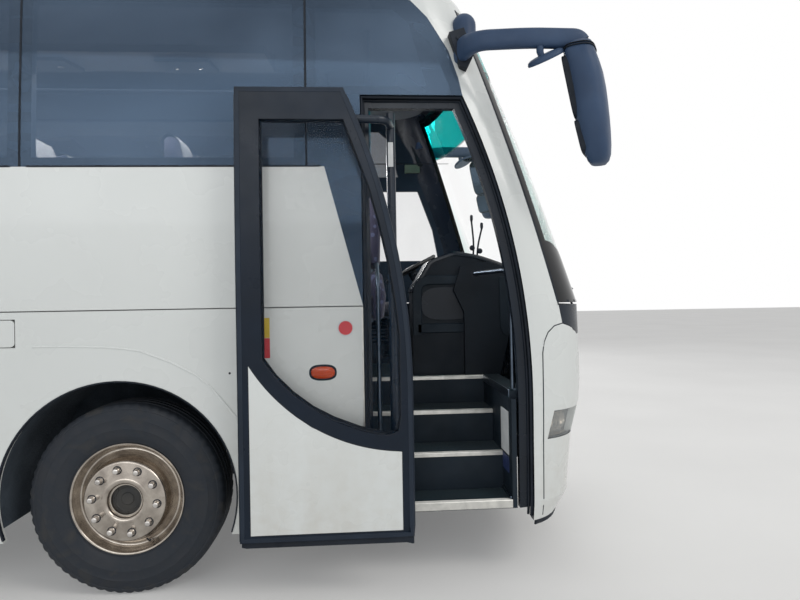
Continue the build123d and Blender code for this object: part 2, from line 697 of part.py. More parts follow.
with BuildPart(STEERING_PLANE) as steering_wheel:
    Torus(225, 15)
    Cylinder(48, 40)
    for angle in (30, 150, 270):
        with Locations(Location((0, 0, 0), (0, 0, angle))):
            with Locations((125, 0, 0)):
                Box(190, 26, 12)
save(steering_wheel.part, "steering_wheel")

with BuildPart() as driver_seat:
    add(box(4640, 4900, DRIVER_Y - 130, DRIVER_Y + 130, PLATFORM_Z, 1420))
    add(box(4560, 5010, DRIVER_Y - 245, DRIVER_Y + 245, 1420, 1520))
    with BuildSketch(Plane.XZ.offset(-DRIVER_Y - 245)):
        with BuildLine():
            Polyline((4560, 1500), (4680, 1500), (4600, 2240), (4500, 2240), close=True)
        make_face()
    extrude(amount=490)
save(driver_seat.part, "driver_seat")

# Passenger seats, a pair each side of the aisle in every row. Outlines: x from the hip point, and z
SEAT_ROWS = 12
SEAT_PITCH = 790.0
FIRST_SEAT_X = 3720.0
SEAT_INNER_Y = 290.0
SEAT_PAIR_WIDTH = 850.0
SEAT_OUTLINES = {
    "seat_cushions": [(60, DECK_Z), (380, DECK_Z), (480, 1790), (470, 1880), (130, 1860), (0, 1800)],
    "seat_backs": [(130, 1860), (-40, 2500), (-130, 2480), (0, 1800)],
}
for node_name, outline in SEAT_OUTLINES.items():
    with BuildPart() as seats:
        for row in range(SEAT_ROWS):
            hip_x = FIRST_SEAT_X - row * SEAT_PITCH
            with BuildSketch(Plane.XZ.offset(SEAT_INNER_Y)):
                with BuildLine():
                    Polyline(*[(hip_x + x, z) for x, z in outline], close=True)
                make_face()
            extrude(amount=SEAT_PAIR_WIDTH)
        mirror(about=Plane.XZ)
    save(seats.part, node_name)

with BuildPart() as luggage_racks:
    with BuildSketch(Plane.YZ.offset(-5600)):
        with BuildLine():
            Polyline((700, 3010), (720, 2960), (1160, 2900), (1160, 2940), (735, 2990), (730, 3070),
                     (700, 3070), close=True)
        make_face()
    extrude(amount=9800)
    mirror(about=Plane.XZ)
save(luggage_racks.part, "luggage_racks")

# Air conditioning on the roof
with BuildPart() as ac_unit:
    with BuildSketch(Plane.XY.offset(3480)) as foot:
        RectangleRounded(3000, 1800, 200)
    with BuildSketch(Plane.XY.offset(3640)) as shoulder:
        RectangleRounded(2900, 1700, 180)
    with BuildSketch(Plane.XY.offset(3705)) as crown:
        RectangleRounded(2640, 1440, 120)
    loft(ruled=True)
    add(hull(ROOF_SECTIONS, 0, False), mode=Mode.SUBTRACT)
save(ac_unit.part, "ac_unit")

# Mirrors on long arms ahead of the windshield, each with a hinge block and a pivot dome at its root
# and a round kerb mirror below the arm. The left arm stands higher and reaches further forward.
# Columns: z, middle x, depth, width, corner radius
MIRROR_HEAD = [
    (2850, 5858, 116, 130, 50),
    (2810, 5856, 157, 200, 60),
    (2700, 5882, 176, 232, 66),
    (2540, 5910, 169, 232, 64),
    (2400, 5930, 153, 226, 58),
    (2280, 5945, 127, 200, 48),
    (2225, 5945, 78, 140, 28),
]
MIRROR_Y = -1440.0
MIRROR_TURN = -30.0
HINGE_BLOCK = [(5203, 2985), (5285, 3012), (5338, 2865), (5300, 2788), (5262, 2800)]
KERB_MIRROR = Plane(origin=(5678, -1430, 2787), x_dir=(0.898, 0, 0.44), z_dir=(0.42, 0.30, -0.857))
KERB_THICK = 32.0
DOME = (5305, -1150, 3068)
DOME_R = 66.0
DOME_STEM = 118.0
ARM_ROOT = (5262, -1215, 2895)
RIGHT_ARM = [ARM_ROOT, (5320, -1385, 2886), (5600, -1428, 2884), (5858, -1433, 2880), (5876, -1435, 2790)]
LEFT_ARM = [ARM_ROOT, (5330, -1385, 2960), (5500, -1428, 2999), (5924, -1433, 2995), (5942, -1435, 2905)]
LEFT_SHIFT = Location((66, 0, 115))


def mirror_unit(arm, bends, shift):
    """One mirror as on the right side; its head and kerb mirror are shifted from the right one's place."""
    with BuildPart() as head:
        for z, middle_x, depth, width, corner_r in MIRROR_HEAD:
            with BuildSketch(Plane.XY.offset(z)):
                with Locations((middle_x, MIRROR_Y)):
                    RectangleRounded(depth, width, corner_r, rotation=MIRROR_TURN)
        loft(ruled=True)
        with BuildSketch(KERB_MIRROR.offset(-KERB_THICK / 2)):
            Ellipse(102, 78)
        extrude(amount=KERB_THICK)
        with Locations((5650, -1430, 2820)):
            Cylinder(20, 70)
    with BuildPart() as unit:
        with BuildLine() as arm_path:
            FilletPolyline(*arm, radius=bends)
        with BuildSketch(Plane(origin=arm_path.line @ 0, z_dir=arm_path.line % 0)):
            Ellipse(34, 52)
        sweep(path=arm_path.line)
        add(head.part.moved(shift))
        with BuildSketch(Plane.XZ.offset(1130)):
            with BuildLine():
                Polyline(*HINGE_BLOCK, close=True)
            make_face()
        extrude(amount=135)
        with Locations(DOME):
            Sphere(DOME_R)
        with Locations((DOME[0], DOME[1], DOME[2] - DOME_STEM / 2)):
            Cylinder(DOME_R, DOME_STEM)
        add(UPPER_HULL, mode=Mode.SUBTRACT)
    return unit.part


with BuildPart() as mirrors:
    add(mirror_unit(RIGHT_ARM, (60, 200, 50), Location()))
    add(mirror_unit(LEFT_ARM, (60, 90, 50), LEFT_SHIFT).mirror(Plane.XZ))
save(mirrors.part, "mirrors")


# Entrance door
LEAF_LINE = front_edge(LEAF_BOTTOM_Z, LEAF_TOP_Z, LEAF_FRONT_X, LEAF_CURVE_Z, LEAF_CURVE_R)
LEAF_REAR_X = DOOR_REAR_X + LEAF_GAP
PANEL_REAR_X = 4776.0
PANEL_FRONT_X = 5546.0


def door_skin(outside, inside):
    """The leaf's skin: the body's lower side, and above the waist one arc that leans in like the body."""
    arcs = [[(inset - y, z) for z, y in ((WAIST_Z, 1275), (1900, 1271), (2700, 1240))] for inset in (outside, inside)]
    with BuildPart() as skin:
        add(shell(LOWER_SECTIONS, outside, inside, True))
        add(box(4600, 5700, -1400, -1000, 300, WAIST_Z), mode=Mode.INTERSECT)
        with BuildSketch(Plane.YZ.offset(4600)):
            with BuildLine():
                ThreePointArc(*arcs[0])
                Line(arcs[0][2], arcs[1][2])
                ThreePointArc(*arcs[1])
                Line(arcs[1][0], arcs[0][0])
            make_face()
        extrude(amount=1100)
    return skin.part


with BuildPart() as leaf_outline:
    with BuildSketch(Plane.XZ):
        with BuildLine():
            Line(LEAF_LINE[0], LEAF_LINE[1])
            ThreePointArc(LEAF_LINE[1], LEAF_LINE[2], LEAF_LINE[3])
            Polyline(LEAF_LINE[3], (LEAF_REAR_X, LEAF_TOP_Z), (LEAF_REAR_X, LEAF_BOTTOM_Z), LEAF_LINE[0])
        make_face()
    extrude(amount=PAST_SKIN)

with BuildPart() as glass_outline:
    with BuildSketch(Plane.XZ):
        with BuildLine():
            ThreePointArc((4844, 1251), (5091, 998), (5474, 850))
            Polyline((5474, 850), (5530, 870), (5544, 940), (5544, 1361))
            ThreePointArc((5544, 1361), (5492, 1750), (5397, 2132))
            Polyline((5397, 2132), (5273, 2470), (4844, 2470), (4844, 1251))
        make_face()
    extrude(amount=PAST_SKIN)

with BuildPart() as panel_outline:
    with BuildSketch(Plane.XZ):
        with BuildLine():
            ThreePointArc((PANEL_REAR_X, 1222), (5089, 906), (PANEL_FRONT_X, 767))
            Polyline((PANEL_FRONT_X, 767), (PANEL_FRONT_X, 365), (PANEL_REAR_X, 365), (PANEL_REAR_X, 1222))
        make_face()
    extrude(amount=PAST_SKIN)

DOOR_SKIN = door_skin(0, LEAF_THICK)
PIVOT_X = COLUMN_X + ARM_REACH.length
LOW_ARM_Z, TOP_ARM_Z = ARM_Z
BRACKET_HALF = 22.0


def pivot_bracket(arm_z, outer_y):
    """A lug over the arm's eye, with its pin, on the leaf's inside."""
    with BuildPart() as bracket:
        add(box(PIVOT_X - BRACKET_HALF, PIVOT_X + BRACKET_HALF, outer_y, COLUMN_Y + 24, arm_z + 28, arm_z + 43))
        with Locations((PIVOT_X, COLUMN_Y, arm_z)):
            Cylinder(PIVOT_R, 60)
    return bracket.part


with BuildPart() as door_closed:
    add(DOOR_SKIN)
    add(leaf_outline.part, mode=Mode.INTERSECT)
    add(glass_outline.part, mode=Mode.SUBTRACT)
    add(panel_outline.part, mode=Mode.SUBTRACT)
    add(pivot_bracket(TOP_ARM_Z, -1220))
save(door_closed.part.moved(Location(DOOR_OPEN)), "door_frame")

with BuildPart() as panel_closed:
    add(DOOR_SKIN)
    add(panel_outline.part, mode=Mode.INTERSECT)
    add(pivot_bracket(LOW_ARM_Z, LEAF_THICK - HALF_WIDTH))
save(panel_closed.part.moved(Location(DOOR_OPEN)), "door_panel")

with BuildPart() as door_glass_closed:
    add(door_skin(3, 21))
    add(glass_outline.part, mode=Mode.INTERSECT)
save(door_glass_closed.part.moved(Location(DOOR_OPEN)), "door_glass")

# Turning column with its two swan-necked arms, in the open position
COLUMN = Vector(COLUMN_X, COLUMN_Y, 0)
with BuildPart() as door_column:
    with Locations((COLUMN_X, COLUMN_Y, (440 + 2570) / 2)):
        Cylinder(COLUMN_R, 2570 - 440)
    for z in ARM_Z:
        lift = Vector(0, 0, z)
        with BuildLine() as arm_line:
            FilletPolyline(COLUMN + lift, COLUMN + ARM_BEND + lift, COLUMN + ARM_REACH + lift, radius=70)
        with BuildSketch(Plane(origin=arm_line.line @ 0, z_dir=arm_line.line % 0)):
            Circle(ARM_R)
        sweep(path=arm_line.line)
        with Locations(COLUMN + ARM_REACH + lift):
            Cylinder(ARM_R + 3, 50)
            Cylinder(PIVOT_R + RUNNING_GAP, 50, mode=Mode.SUBTRACT)
save(door_column.part, "door_column")
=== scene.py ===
import json
import math
import random

import bmesh
import bpy
from mathutils import Matrix, Vector
from mathutils.bvhtree import BVHTree

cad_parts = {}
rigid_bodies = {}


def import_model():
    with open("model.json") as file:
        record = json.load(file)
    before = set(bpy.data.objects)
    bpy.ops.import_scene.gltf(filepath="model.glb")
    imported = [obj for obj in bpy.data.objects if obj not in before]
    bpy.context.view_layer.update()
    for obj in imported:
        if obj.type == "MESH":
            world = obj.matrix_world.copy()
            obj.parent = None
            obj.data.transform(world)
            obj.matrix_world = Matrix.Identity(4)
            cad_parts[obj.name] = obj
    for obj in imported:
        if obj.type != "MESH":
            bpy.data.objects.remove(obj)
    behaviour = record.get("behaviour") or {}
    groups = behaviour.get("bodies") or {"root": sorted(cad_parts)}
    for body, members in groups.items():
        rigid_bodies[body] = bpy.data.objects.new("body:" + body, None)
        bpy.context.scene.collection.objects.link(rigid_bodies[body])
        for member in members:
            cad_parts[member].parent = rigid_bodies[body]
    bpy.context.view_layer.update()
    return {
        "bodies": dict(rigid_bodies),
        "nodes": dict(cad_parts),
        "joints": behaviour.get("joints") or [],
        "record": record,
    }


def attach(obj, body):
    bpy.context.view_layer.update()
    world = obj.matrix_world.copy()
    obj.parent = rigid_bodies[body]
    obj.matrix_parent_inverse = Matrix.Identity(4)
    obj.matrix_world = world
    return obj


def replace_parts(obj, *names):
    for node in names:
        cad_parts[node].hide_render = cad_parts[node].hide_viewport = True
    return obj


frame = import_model()
nodes = frame["nodes"]
random.seed(11)

# Places shared by several pieces, in metres
LEFT, RIGHT = 1, -1
SIDE_NAMES = {LEFT: "left", RIGHT: "right"}
SIDE_Y = 1.275
WAIST_Z = 1.511
FRONT_AXLE_X = 3.45
REAR_AXLE_X = -2.8
AXLE_Z = 0.508
WHEEL_Y = 1.079
TWIN_SPACING = 0.335


# Camera, light and floor

camera_data = bpy.data.cameras.new("camera")
camera = bpy.data.objects.new("camera", camera_data)
bpy.context.scene.collection.objects.link(camera)
CAMERA_PLACE = Vector((4.700, -4.479, 1.540))
CAMERA_TURN = Matrix.Rotation(math.radians(-3.8), 4, "Z") @ Matrix.Rotation(math.radians(90), 4, "X")
CAMERA_ROLL = Matrix.Rotation(math.radians(-0.95), 4, "Z")
camera.matrix_world = Matrix.Translation(CAMERA_PLACE) @ CAMERA_TURN @ CAMERA_ROLL
camera_data.sensor_width = 36.0
camera_data.lens = 27.0
camera_data.clip_end = 200.0
bpy.context.scene.camera = camera
bpy.context.scene.view_settings.view_transform = "Standard"


def add_lamp(name, place, target, size, power, colour=(1.0, 1.0, 1.0)):
    lamp = bpy.data.lights.new(name, "AREA")
    lamp.shape = "RECTANGLE"
    lamp.size, lamp.size_y = size
    lamp.energy = power
    lamp.color = colour
    holder = bpy.data.objects.new(name, lamp)
    bpy.context.scene.collection.objects.link(holder)
    holder.location = place
    holder.rotation_euler = (Vector(target) - Vector(place)).to_track_quat("-Z", "Y").to_euler()


add_lamp("key", (12.5, -7.5, 9.0), (4.5, -0.8, 1.2), (5.0, 5.0), 400, (1.0, 0.97, 0.93))
add_lamp("side_fill", (1.0, -13.0, 6.5), (1.5, -1.2, 1.2), (12.0, 5.0), 330, (0.95, 0.98, 1.0))
add_lamp("left_fill", (0.0, 13.0, 7.0), (0.0, 1.2, 1.2), (14.0, 5.0), 700)
add_lamp("rear_fill", (-14.0, 2.0, 6.0), (-6.0, 0.0, 1.5), (6.0, 5.0), 350)
for side, name in ((-1, "cabin_light_right"), (1, "cabin_light_left")):
    add_lamp(name, (-0.4, side * 1.10, 2.80), (-0.4, side * 0.78, 1.9), (9.4, 0.12), 230)
    bpy.data.objects[name].visible_camera = False


def make_world():
    """Soft white all round: full strength where it is seen or mirrored, lower where it lights."""
    world = bpy.data.worlds.new("studio")
    bpy.context.scene.world = world
    world.use_nodes = True
    tree = world.node_tree
    background = tree.nodes["Background"]
    background.inputs["Color"].default_value = (1.0, 1.0, 1.0, 1.0)
    rays = tree.nodes.new("ShaderNodeLightPath")
    seen = tree.nodes.new("ShaderNodeMath")
    seen.operation = "MAXIMUM"
    tree.links.new(rays.outputs["Is Camera Ray"], seen.inputs[0])
    tree.links.new(rays.outputs["Is Transmission Ray"], seen.inputs[1])
    mirrored = tree.nodes.new("ShaderNodeMath")
    mirrored.operation = "MAXIMUM"
    tree.links.new(seen.outputs[0], mirrored.inputs[0])
    tree.links.new(rays.outputs["Is Glossy Ray"], mirrored.inputs[1])
    strength = tree.nodes.new("ShaderNodeMapRange")
    strength.inputs["To Min"].default_value = 0.48
    strength.inputs["To Max"].default_value = 1.0
    tree.links.new(mirrored.outputs[0], strength.inputs["Value"])
    tree.links.new(strength.outputs["Result"], background.inputs["Strength"])


make_world()


# Materials

def paint(red, green, blue, alpha=1.0):
    """A colour written as screen values from 0 to 255."""
    def linear(value):
        value /= 255.0
        return value / 12.92 if value <= 0.04045 else ((value + 0.055) / 1.055) ** 2.4

    return linear(red), linear(green), linear(blue), alpha


class Finish:
    """A material whose shader is fed by procedural textures in the piece's own coordinates."""

    def __init__(self, name, **sockets):
        self.material = bpy.data.materials.new(name)
        self.material.use_nodes = True
        self.tree = self.material.node_tree
        self.shader = self.tree.nodes["Principled BSDF"]
        self.coords = self.add("TexCoord").outputs["Object"]
        self.relief = None
        for socket, value in sockets.items():
            self.shader.inputs[socket.replace("_", " ").title().replace("Ior", "IOR")].default_value = value

    def add(self, kind, inputs=None, **settings):
        node = self.tree.nodes.new("ShaderNode" + kind)
        for key, value in settings.items():
            setattr(node, key, value)
        for key, value in (inputs or {}).items():
            self.feed(node.inputs[key], value)
        return node

    def feed(self, socket, value):
        if isinstance(value, bpy.types.NodeSocket):
            self.tree.links.new(value, socket)
        else:
            socket.default_value = value

    def spread(self, stretch=(1.0, 1.0, 1.0)):
        return self.add("Mapping", {"Vector": self.coords, "Scale": stretch}).outputs["Vector"]

    def noise(self, size, detail=3.0, stretch=(1.0, 1.0, 1.0), twist=0.0):
        inputs = {"Vector": self.spread(stretch), "Scale": 1.0 / size, "Detail": detail, "Distortion": twist}
        return self.add("TexNoise", inputs).outputs["Fac"]

    def cells(self, size, stretch=(1.0, 1.0, 1.0), edges=False):
        inputs = {"Vector": self.spread(stretch), "Scale": 1.0 / size}
        feature = "DISTANCE_TO_EDGE" if edges else "F1"
        return self.add("TexVoronoi", inputs, feature=feature).outputs["Distance"]

    def waves(self, size, direction="X", twist=0.0, stretch=(1.0, 1.0, 1.0)):
        inputs = {"Vector": self.spread(stretch), "Scale": 0.3142 / size, "Distortion": twist}
        return self.add("TexWave", inputs, bands_direction=direction).outputs["Fac"]

    def height(self):
        return self.add("SeparateXYZ", {"Vector": self.coords}).outputs["Z"]

    def sum(self, operation, first, second=0.0, third=0.0):
        node = self.add("Math", operation=operation)
        for socket, value in zip(node.inputs, (first, second, third)):
            self.feed(socket, value)
        return node.outputs[0]

    def fit(self, value, low, high, to_low=0.0, to_high=1.0):
        inputs = {"Value": value, "From Min": low, "From Max": high, "To Min": to_low, "To Max": to_high}
        return self.add("MapRange", inputs).outputs["Result"]

    def ramp(self, factor, *stops):
        """Colours at places from 0 to 1."""
        node = self.add("ValToRGB", {"Fac": factor})
        while len(node.color_ramp.elements) < len(stops):
            node.color_ramp.elements.new(0.5)
        for element, (place, colour) in zip(node.color_ramp.elements, stops):
            element.position = place
            element.color = colour
        return node.outputs["Color"]

    def blend(self, factor, first, second):
        node = self.add("Mix", data_type="RGBA")
        for index, value in ((0, factor), (6, first), (7, second)):
            self.feed(node.inputs[index], value)
        return node.outputs[2]

    def bump(self, height, depth, strength=1.0):
        inputs = {"Height": height, "Distance": depth, "Strength": strength}
        if self.relief:
            inputs["Normal"] = self.relief
        self.relief = self.add("Bump", inputs).outputs["Normal"]
        self.feed(self.shader.inputs["Normal"], self.relief)
        return self

    def colour(self, value):
        self.feed(self.shader.inputs["Base Color"], value)
        return self

    def rough(self, factor, low, high):
        self.feed(self.shader.inputs["Roughness"], self.fit(factor, 0.3, 0.7, low, high))
        return self

    def alpha(self, value):
        self.feed(self.shader.inputs["Alpha"], value)
        return self


def grained(name, dark, light, rough, size, depth, patch=0.5, stretch=(1.0, 1.0, 1.0), **sockets):
    """A moulded or painted surface: two close tones in soft patches, over a fine relief."""
    finish = Finish(name, **sockets)
    tone = finish.noise(patch, 4.0)
    finish.colour(finish.ramp(tone, (0.3, dark), (0.7, light)))
    finish.rough(finish.noise(patch * 0.4, 3.0), *rough)
    finish.bump(finish.noise(size, 2.0, stretch), depth)
    return finish


def body_paint(name, tone, dusty):
    """Gloss paint with a trace of orange peel, and road dust that thins out upwards."""
    finish = Finish(name, coat_weight=0.35, coat_roughness=0.06)
    cloud = finish.noise(0.9, 3.0)
    darker = tuple(value * 0.95 for value in tone[:3]) + (1.0,)
    clean = finish.ramp(cloud, (0.3, darker), (0.7, tone))
    low_dust = finish.fit(finish.height(), 1.15, 0.35)
    speckle = finish.fit(finish.noise(0.05, 5.0), 0.42, 0.72)
    streak = finish.fit(finish.noise(0.16, 4.0, (1.0, 1.0, 0.12)), 0.35, 0.75)
    dust = finish.sum("MULTIPLY", finish.sum("MULTIPLY_ADD", speckle, 0.5, streak), low_dust)
    finish.colour(finish.blend(finish.sum("MULTIPLY", dust, dusty), clean, paint(176, 168, 152)))
    finish.rough(finish.noise(0.3, 3.0), 0.22, 0.34)
    finish.bump(finish.noise(0.006, 1.0), 0.00003)
    finish.bump(finish.noise(0.7, 1.0), 0.0006)
    return finish.material


def metal(name, dark, light, rough, stretch, size=0.002, depth=0.00002):
    """Bare metal: fine drawn lines and duller patches."""
    finish = Finish(name, metallic=1.0)
    finish.colour(finish.ramp(finish.noise(0.06, 5.0, (1, 1, 1), 0.4), (0.3, dark), (0.7, light)))
    finish.rough(finish.noise(size, 3.0, stretch), *rough)
    finish.bump(finish.noise(size, 2.0, stretch), depth)
    return finish.material


def glass(name, tint, alpha, rough=0.02, gloss=0.35, streaks=0.02):
    finish = Finish(name, roughness=rough, specular_ior_level=gloss)
    smear = finish.noise(0.35, 5.0, (1.0, 1.0, 0.5), 0.6)
    lighter = tuple(value + streaks for value in tint[:3]) + (1.0,)
    finish.colour(finish.ramp(smear, (0.35, tint), (0.75, lighter)))
    finish.alpha(finish.fit(smear, 0.3, 0.8, alpha, min(1.0, alpha * 1.4)))
    finish.rough(finish.noise(0.12, 3.0), rough, rough + 0.03)
    return finish


def side_glass_finish():
    """Tinted side glass: blue-grey, partly its own tint and partly painted sky reflection, with soft paler clouds of
    painted reflection.
    """
    finish = Finish("tinted_glass_painted_reflection_finish", roughness=0.03, specular_ior_level=0.5,
                    specular_tint=paint(176, 214, 255))
    # Painted sky reflection: the cloud noise lightens the blue-grey towards pale sky tones and makes the glass a little
    # more opaque.
    cloud = finish.noise(1.1, 3.0, (0.7, 1.0, 1.4), 0.5)
    finish.colour(finish.ramp(cloud, (0.35, paint(52, 64, 80)), (0.62, paint(84, 100, 120)), (0.85, paint(104, 122, 144))))
    finish.alpha(finish.fit(cloud, 0.3, 0.8, 0.62, 0.70))
    finish.rough(finish.noise(0.12, 3.0), 0.02, 0.05)
    return finish.material


def woven(name, dark, light, thread=0.0016, depth=0.0004, rough=(0.75, 0.9), pattern=None):
    """Cloth: two crossed sets of threads, with an optional third colour in a loose pattern."""
    finish = Finish(name, sheen_weight=0.25, sheen_roughness=0.5)
    weft = finish.waves(thread, "DIAGONAL", 0.6)
    warp = finish.waves(thread, "Z", 0.6)
    weave = finish.sum("MULTIPLY", weft, warp)
    base = finish.ramp(weave, (0.1, dark), (0.8, light))
    if pattern:
        spots = finish.fit(finish.cells(0.045), 0.30, 0.26)
        base = finish.blend(finish.sum("MULTIPLY", spots, 0.8), base, pattern)
    finish.colour(base)
    finish.rough(finish.noise(0.08, 3.0), *rough)
    finish.bump(weave, depth)
    finish.bump(finish.noise(0.12, 3.0), 0.003, 0.4)
    return finish.material


def carpet(name, dark, light):
    finish = Finish(name, sheen_weight=0.05, specular_ior_level=0.2)
    tuft = finish.noise(0.0035, 4.0)
    wear = finish.noise(0.22, 4.0)
    worn = tuple(value * 1.25 + 0.004 for value in light[:3]) + (1.0,)
    base = finish.ramp(tuft, (0.32, dark), (0.68, light))
    finish.colour(finish.blend(finish.fit(wear, 0.5, 0.85, 0.0, 0.5), base, worn))
    finish.rough(wear, 0.88, 1.0)
    finish.bump(tuft, 0.0025)
    return finish.material


WHITE = body_paint("body_white_finish", paint(218, 222, 221), 0.30)
BLACK_TRIM = grained("black_trim_finish", paint(17, 25, 35), paint(24, 34, 46), (0.20, 0.34), 0.004, 0.00004,
                     specular_ior_level=0.3).material
RUBBER = grained("rubber_finish", paint(16, 23, 32), paint(26, 34, 45), (0.55, 0.75), 0.0015, 0.00015, 0.2,
                 specular_ior_level=0.3).material
FRAME_BLACK = grained("door_frame_finish", paint(9, 21, 34), paint(14, 28, 44), (0.26, 0.40), 0.0012, 0.00006,
                      0.3, specular_ior_level=0.24).material
# Dark lining: its own dark colour, darkened further as painted shade of the dim cabin.
DARK_LINING = grained("dark_lining_finish", paint(14, 29, 43), paint(20, 38, 54), (0.7, 0.85), 0.0014, 0.0003,
                      0.3, specular_ior_level=0.3).material
PALE_LINING = grained("pale_lining_finish", paint(112, 116, 120), paint(128, 132, 135), (0.8, 0.95), 0.002, 0.0006,
                      0.4).material
# Step linings: their own dark grey, darkened further as painted shade of the dim stairwell.
STEP_GREY = grained("step_lining_finish", paint(18, 29, 38), paint(26, 38, 49), (0.5, 0.7), 0.0025, 0.0004,
                    0.25, specular_ior_level=0.25).material
HOUSING = grained("housing_finish", paint(46, 56, 66), paint(66, 76, 86), (0.85, 0.98), 0.012, 0.003, 0.15).material
FRAME_PAINT = grained("frame_paint_finish", paint(38, 40, 43), paint(62, 60, 56), (0.5, 0.75), 0.004, 0.0004,
                      0.12).material
ENGINE_PAINT = grained("engine_finish", paint(70, 76, 80), paint(98, 100, 98), (0.5, 0.8), 0.006, 0.001,
                       0.1).material
HOLD_LINING = grained("hold_lining_finish", paint(104, 108, 110), paint(124, 127, 128), (0.6, 0.8), 0.003, 0.0006,
                      0.4).material
# Dash: its own dark colour, darkened further as painted shade of the dim cabin.
DASH = grained("dash_finish", paint(9, 18, 27), paint(15, 26, 36), (0.5, 0.68), 0.0018, 0.0005, 0.3,
               specular_ior_level=0.25).material
WHEEL_PLASTIC = grained("wheel_rim_plastic_finish", paint(24, 25, 28), paint(34, 35, 38), (0.35, 0.5), 0.001,
                        0.0002, 0.1).material
MIRROR_GREY = grained("mirror_shell_finish", paint(46, 64, 90), paint(56, 76, 104), (0.42, 0.56), 0.0015, 0.0003,
                      0.2, specular_ior_level=0.25).material
ROOF_PLASTIC = grained("roof_plastic_finish", paint(214, 216, 214), paint(226, 227, 225), (0.4, 0.55), 0.004,
                       0.0003, 0.6).material
RACK = grained("rack_finish", paint(120, 124, 130), paint(138, 142, 147), (0.55, 0.7), 0.002, 0.0003, 0.3).material
DECK = carpet("deck_carpet_finish", paint(0, 22, 31), paint(4, 36, 47))
SEAT_CLOTH = woven("seat_cloth_finish", paint(44, 42, 66), paint(74, 72, 104), pattern=paint(96, 104, 140))
DRIVER_CLOTH = woven("driver_cloth_finish", paint(30, 31, 40), paint(52, 54, 66))
# The polished steel's warm brownish grey is painted reflection of the ground.
POLISHED = metal("polished_steel_finish", paint(152, 144, 136), paint(190, 182, 172), (0.12, 0.26), (1, 1, 1))
NUT_STEEL = metal("nut_steel_finish", paint(176, 172, 168), paint(214, 210, 206), (0.16, 0.32), (1, 1, 1), 0.004)
ALUMINIUM = metal("aluminium_finish", paint(188, 188, 184), paint(218, 217, 212), (0.3, 0.48), (0.04, 1, 1))
SATIN_STEEL = metal("satin_steel_finish", paint(80, 92, 106), paint(106, 118, 132), (0.28, 0.42), (1, 1, 0.05))
COLUMN_PAINT = grained("column_finish", paint(20, 31, 44), paint(27, 39, 53), (0.25, 0.38), 0.0015, 0.00005, 0.2,
                       specular_ior_level=0.4).material
SIDE_GLASS = side_glass_finish()
DOOR_GLASS = glass("door_glass_finish", paint(10, 34, 52), 0.06, gloss=0.22, streaks=0.004).material
DRIVER_GLASS = glass("driver_glass_finish", paint(96, 112, 116), 0.10, gloss=0.3).material
LAMP_RED = glass("lamp_red_finish", paint(150, 14, 12), 0.88, 0.06, 0.5).material
LAMP_AMBER = glass("lamp_amber_finish", paint(196, 70, 22), 0.92, 0.08, 0.5).material
LAMP_CLEAR = glass("lamp_clear_finish", paint(200, 205, 206), 0.22, 0.02, 0.5).material
HEAD_COVER = woven("head_cover_finish", paint(196, 198, 200), paint(220, 221, 222), 0.0012, 0.0002)
SEAL = grained("seal_finish", paint(20, 31, 44), paint(29, 41, 56), (0.45, 0.6), 0.0015, 0.0002, 0.2,
               specular_ior_level=0.3).material
PAPER = grained("blank_paper_finish", paint(196, 200, 202), paint(208, 211, 212), (0.6, 0.7), 0.02, 0.0001, 0.08).material
CARD_BLUE = grained("blue_card_finish", paint(30, 44, 84), paint(38, 54, 98), (0.5, 0.6), 0.02, 0.0001, 0.08).material
CARD_RED = grained("red_card_finish", paint(196, 62, 70), paint(210, 74, 80), (0.4, 0.55), 0.02, 0.0001, 0.08).material
CARD_YELLOW = grained("yellow_card_finish", paint(206, 178, 62), paint(218, 190, 74), (0.4, 0.55), 0.02, 0.0001,
                      0.08).material
# The reflectors' brownish silver is painted reflection of the ground.
LAMP_SILVER = metal("lamp_silver_finish", paint(150, 140, 126), paint(190, 180, 164), (0.12, 0.24), (1, 1, 1), 0.01,
                    0.0001)
MIRROR_FACE = metal("mirror_face_finish", paint(60, 74, 90), paint(70, 84, 100), (0.01, 0.03), (1, 1, 1))
HOOD_BLACK = grained("hood_finish", paint(11, 19, 29), paint(17, 27, 38), (0.22, 0.34), 0.0018, 0.0003, 0.3,
                     specular_ior_level=0.35).material
SWITCH_GREEN = grained("switch_box_finish", paint(84, 98, 84), paint(98, 112, 96), (0.5, 0.65), 0.002, 0.0002, 0.1).material
TYRE_INK = paint(28, 35, 44)


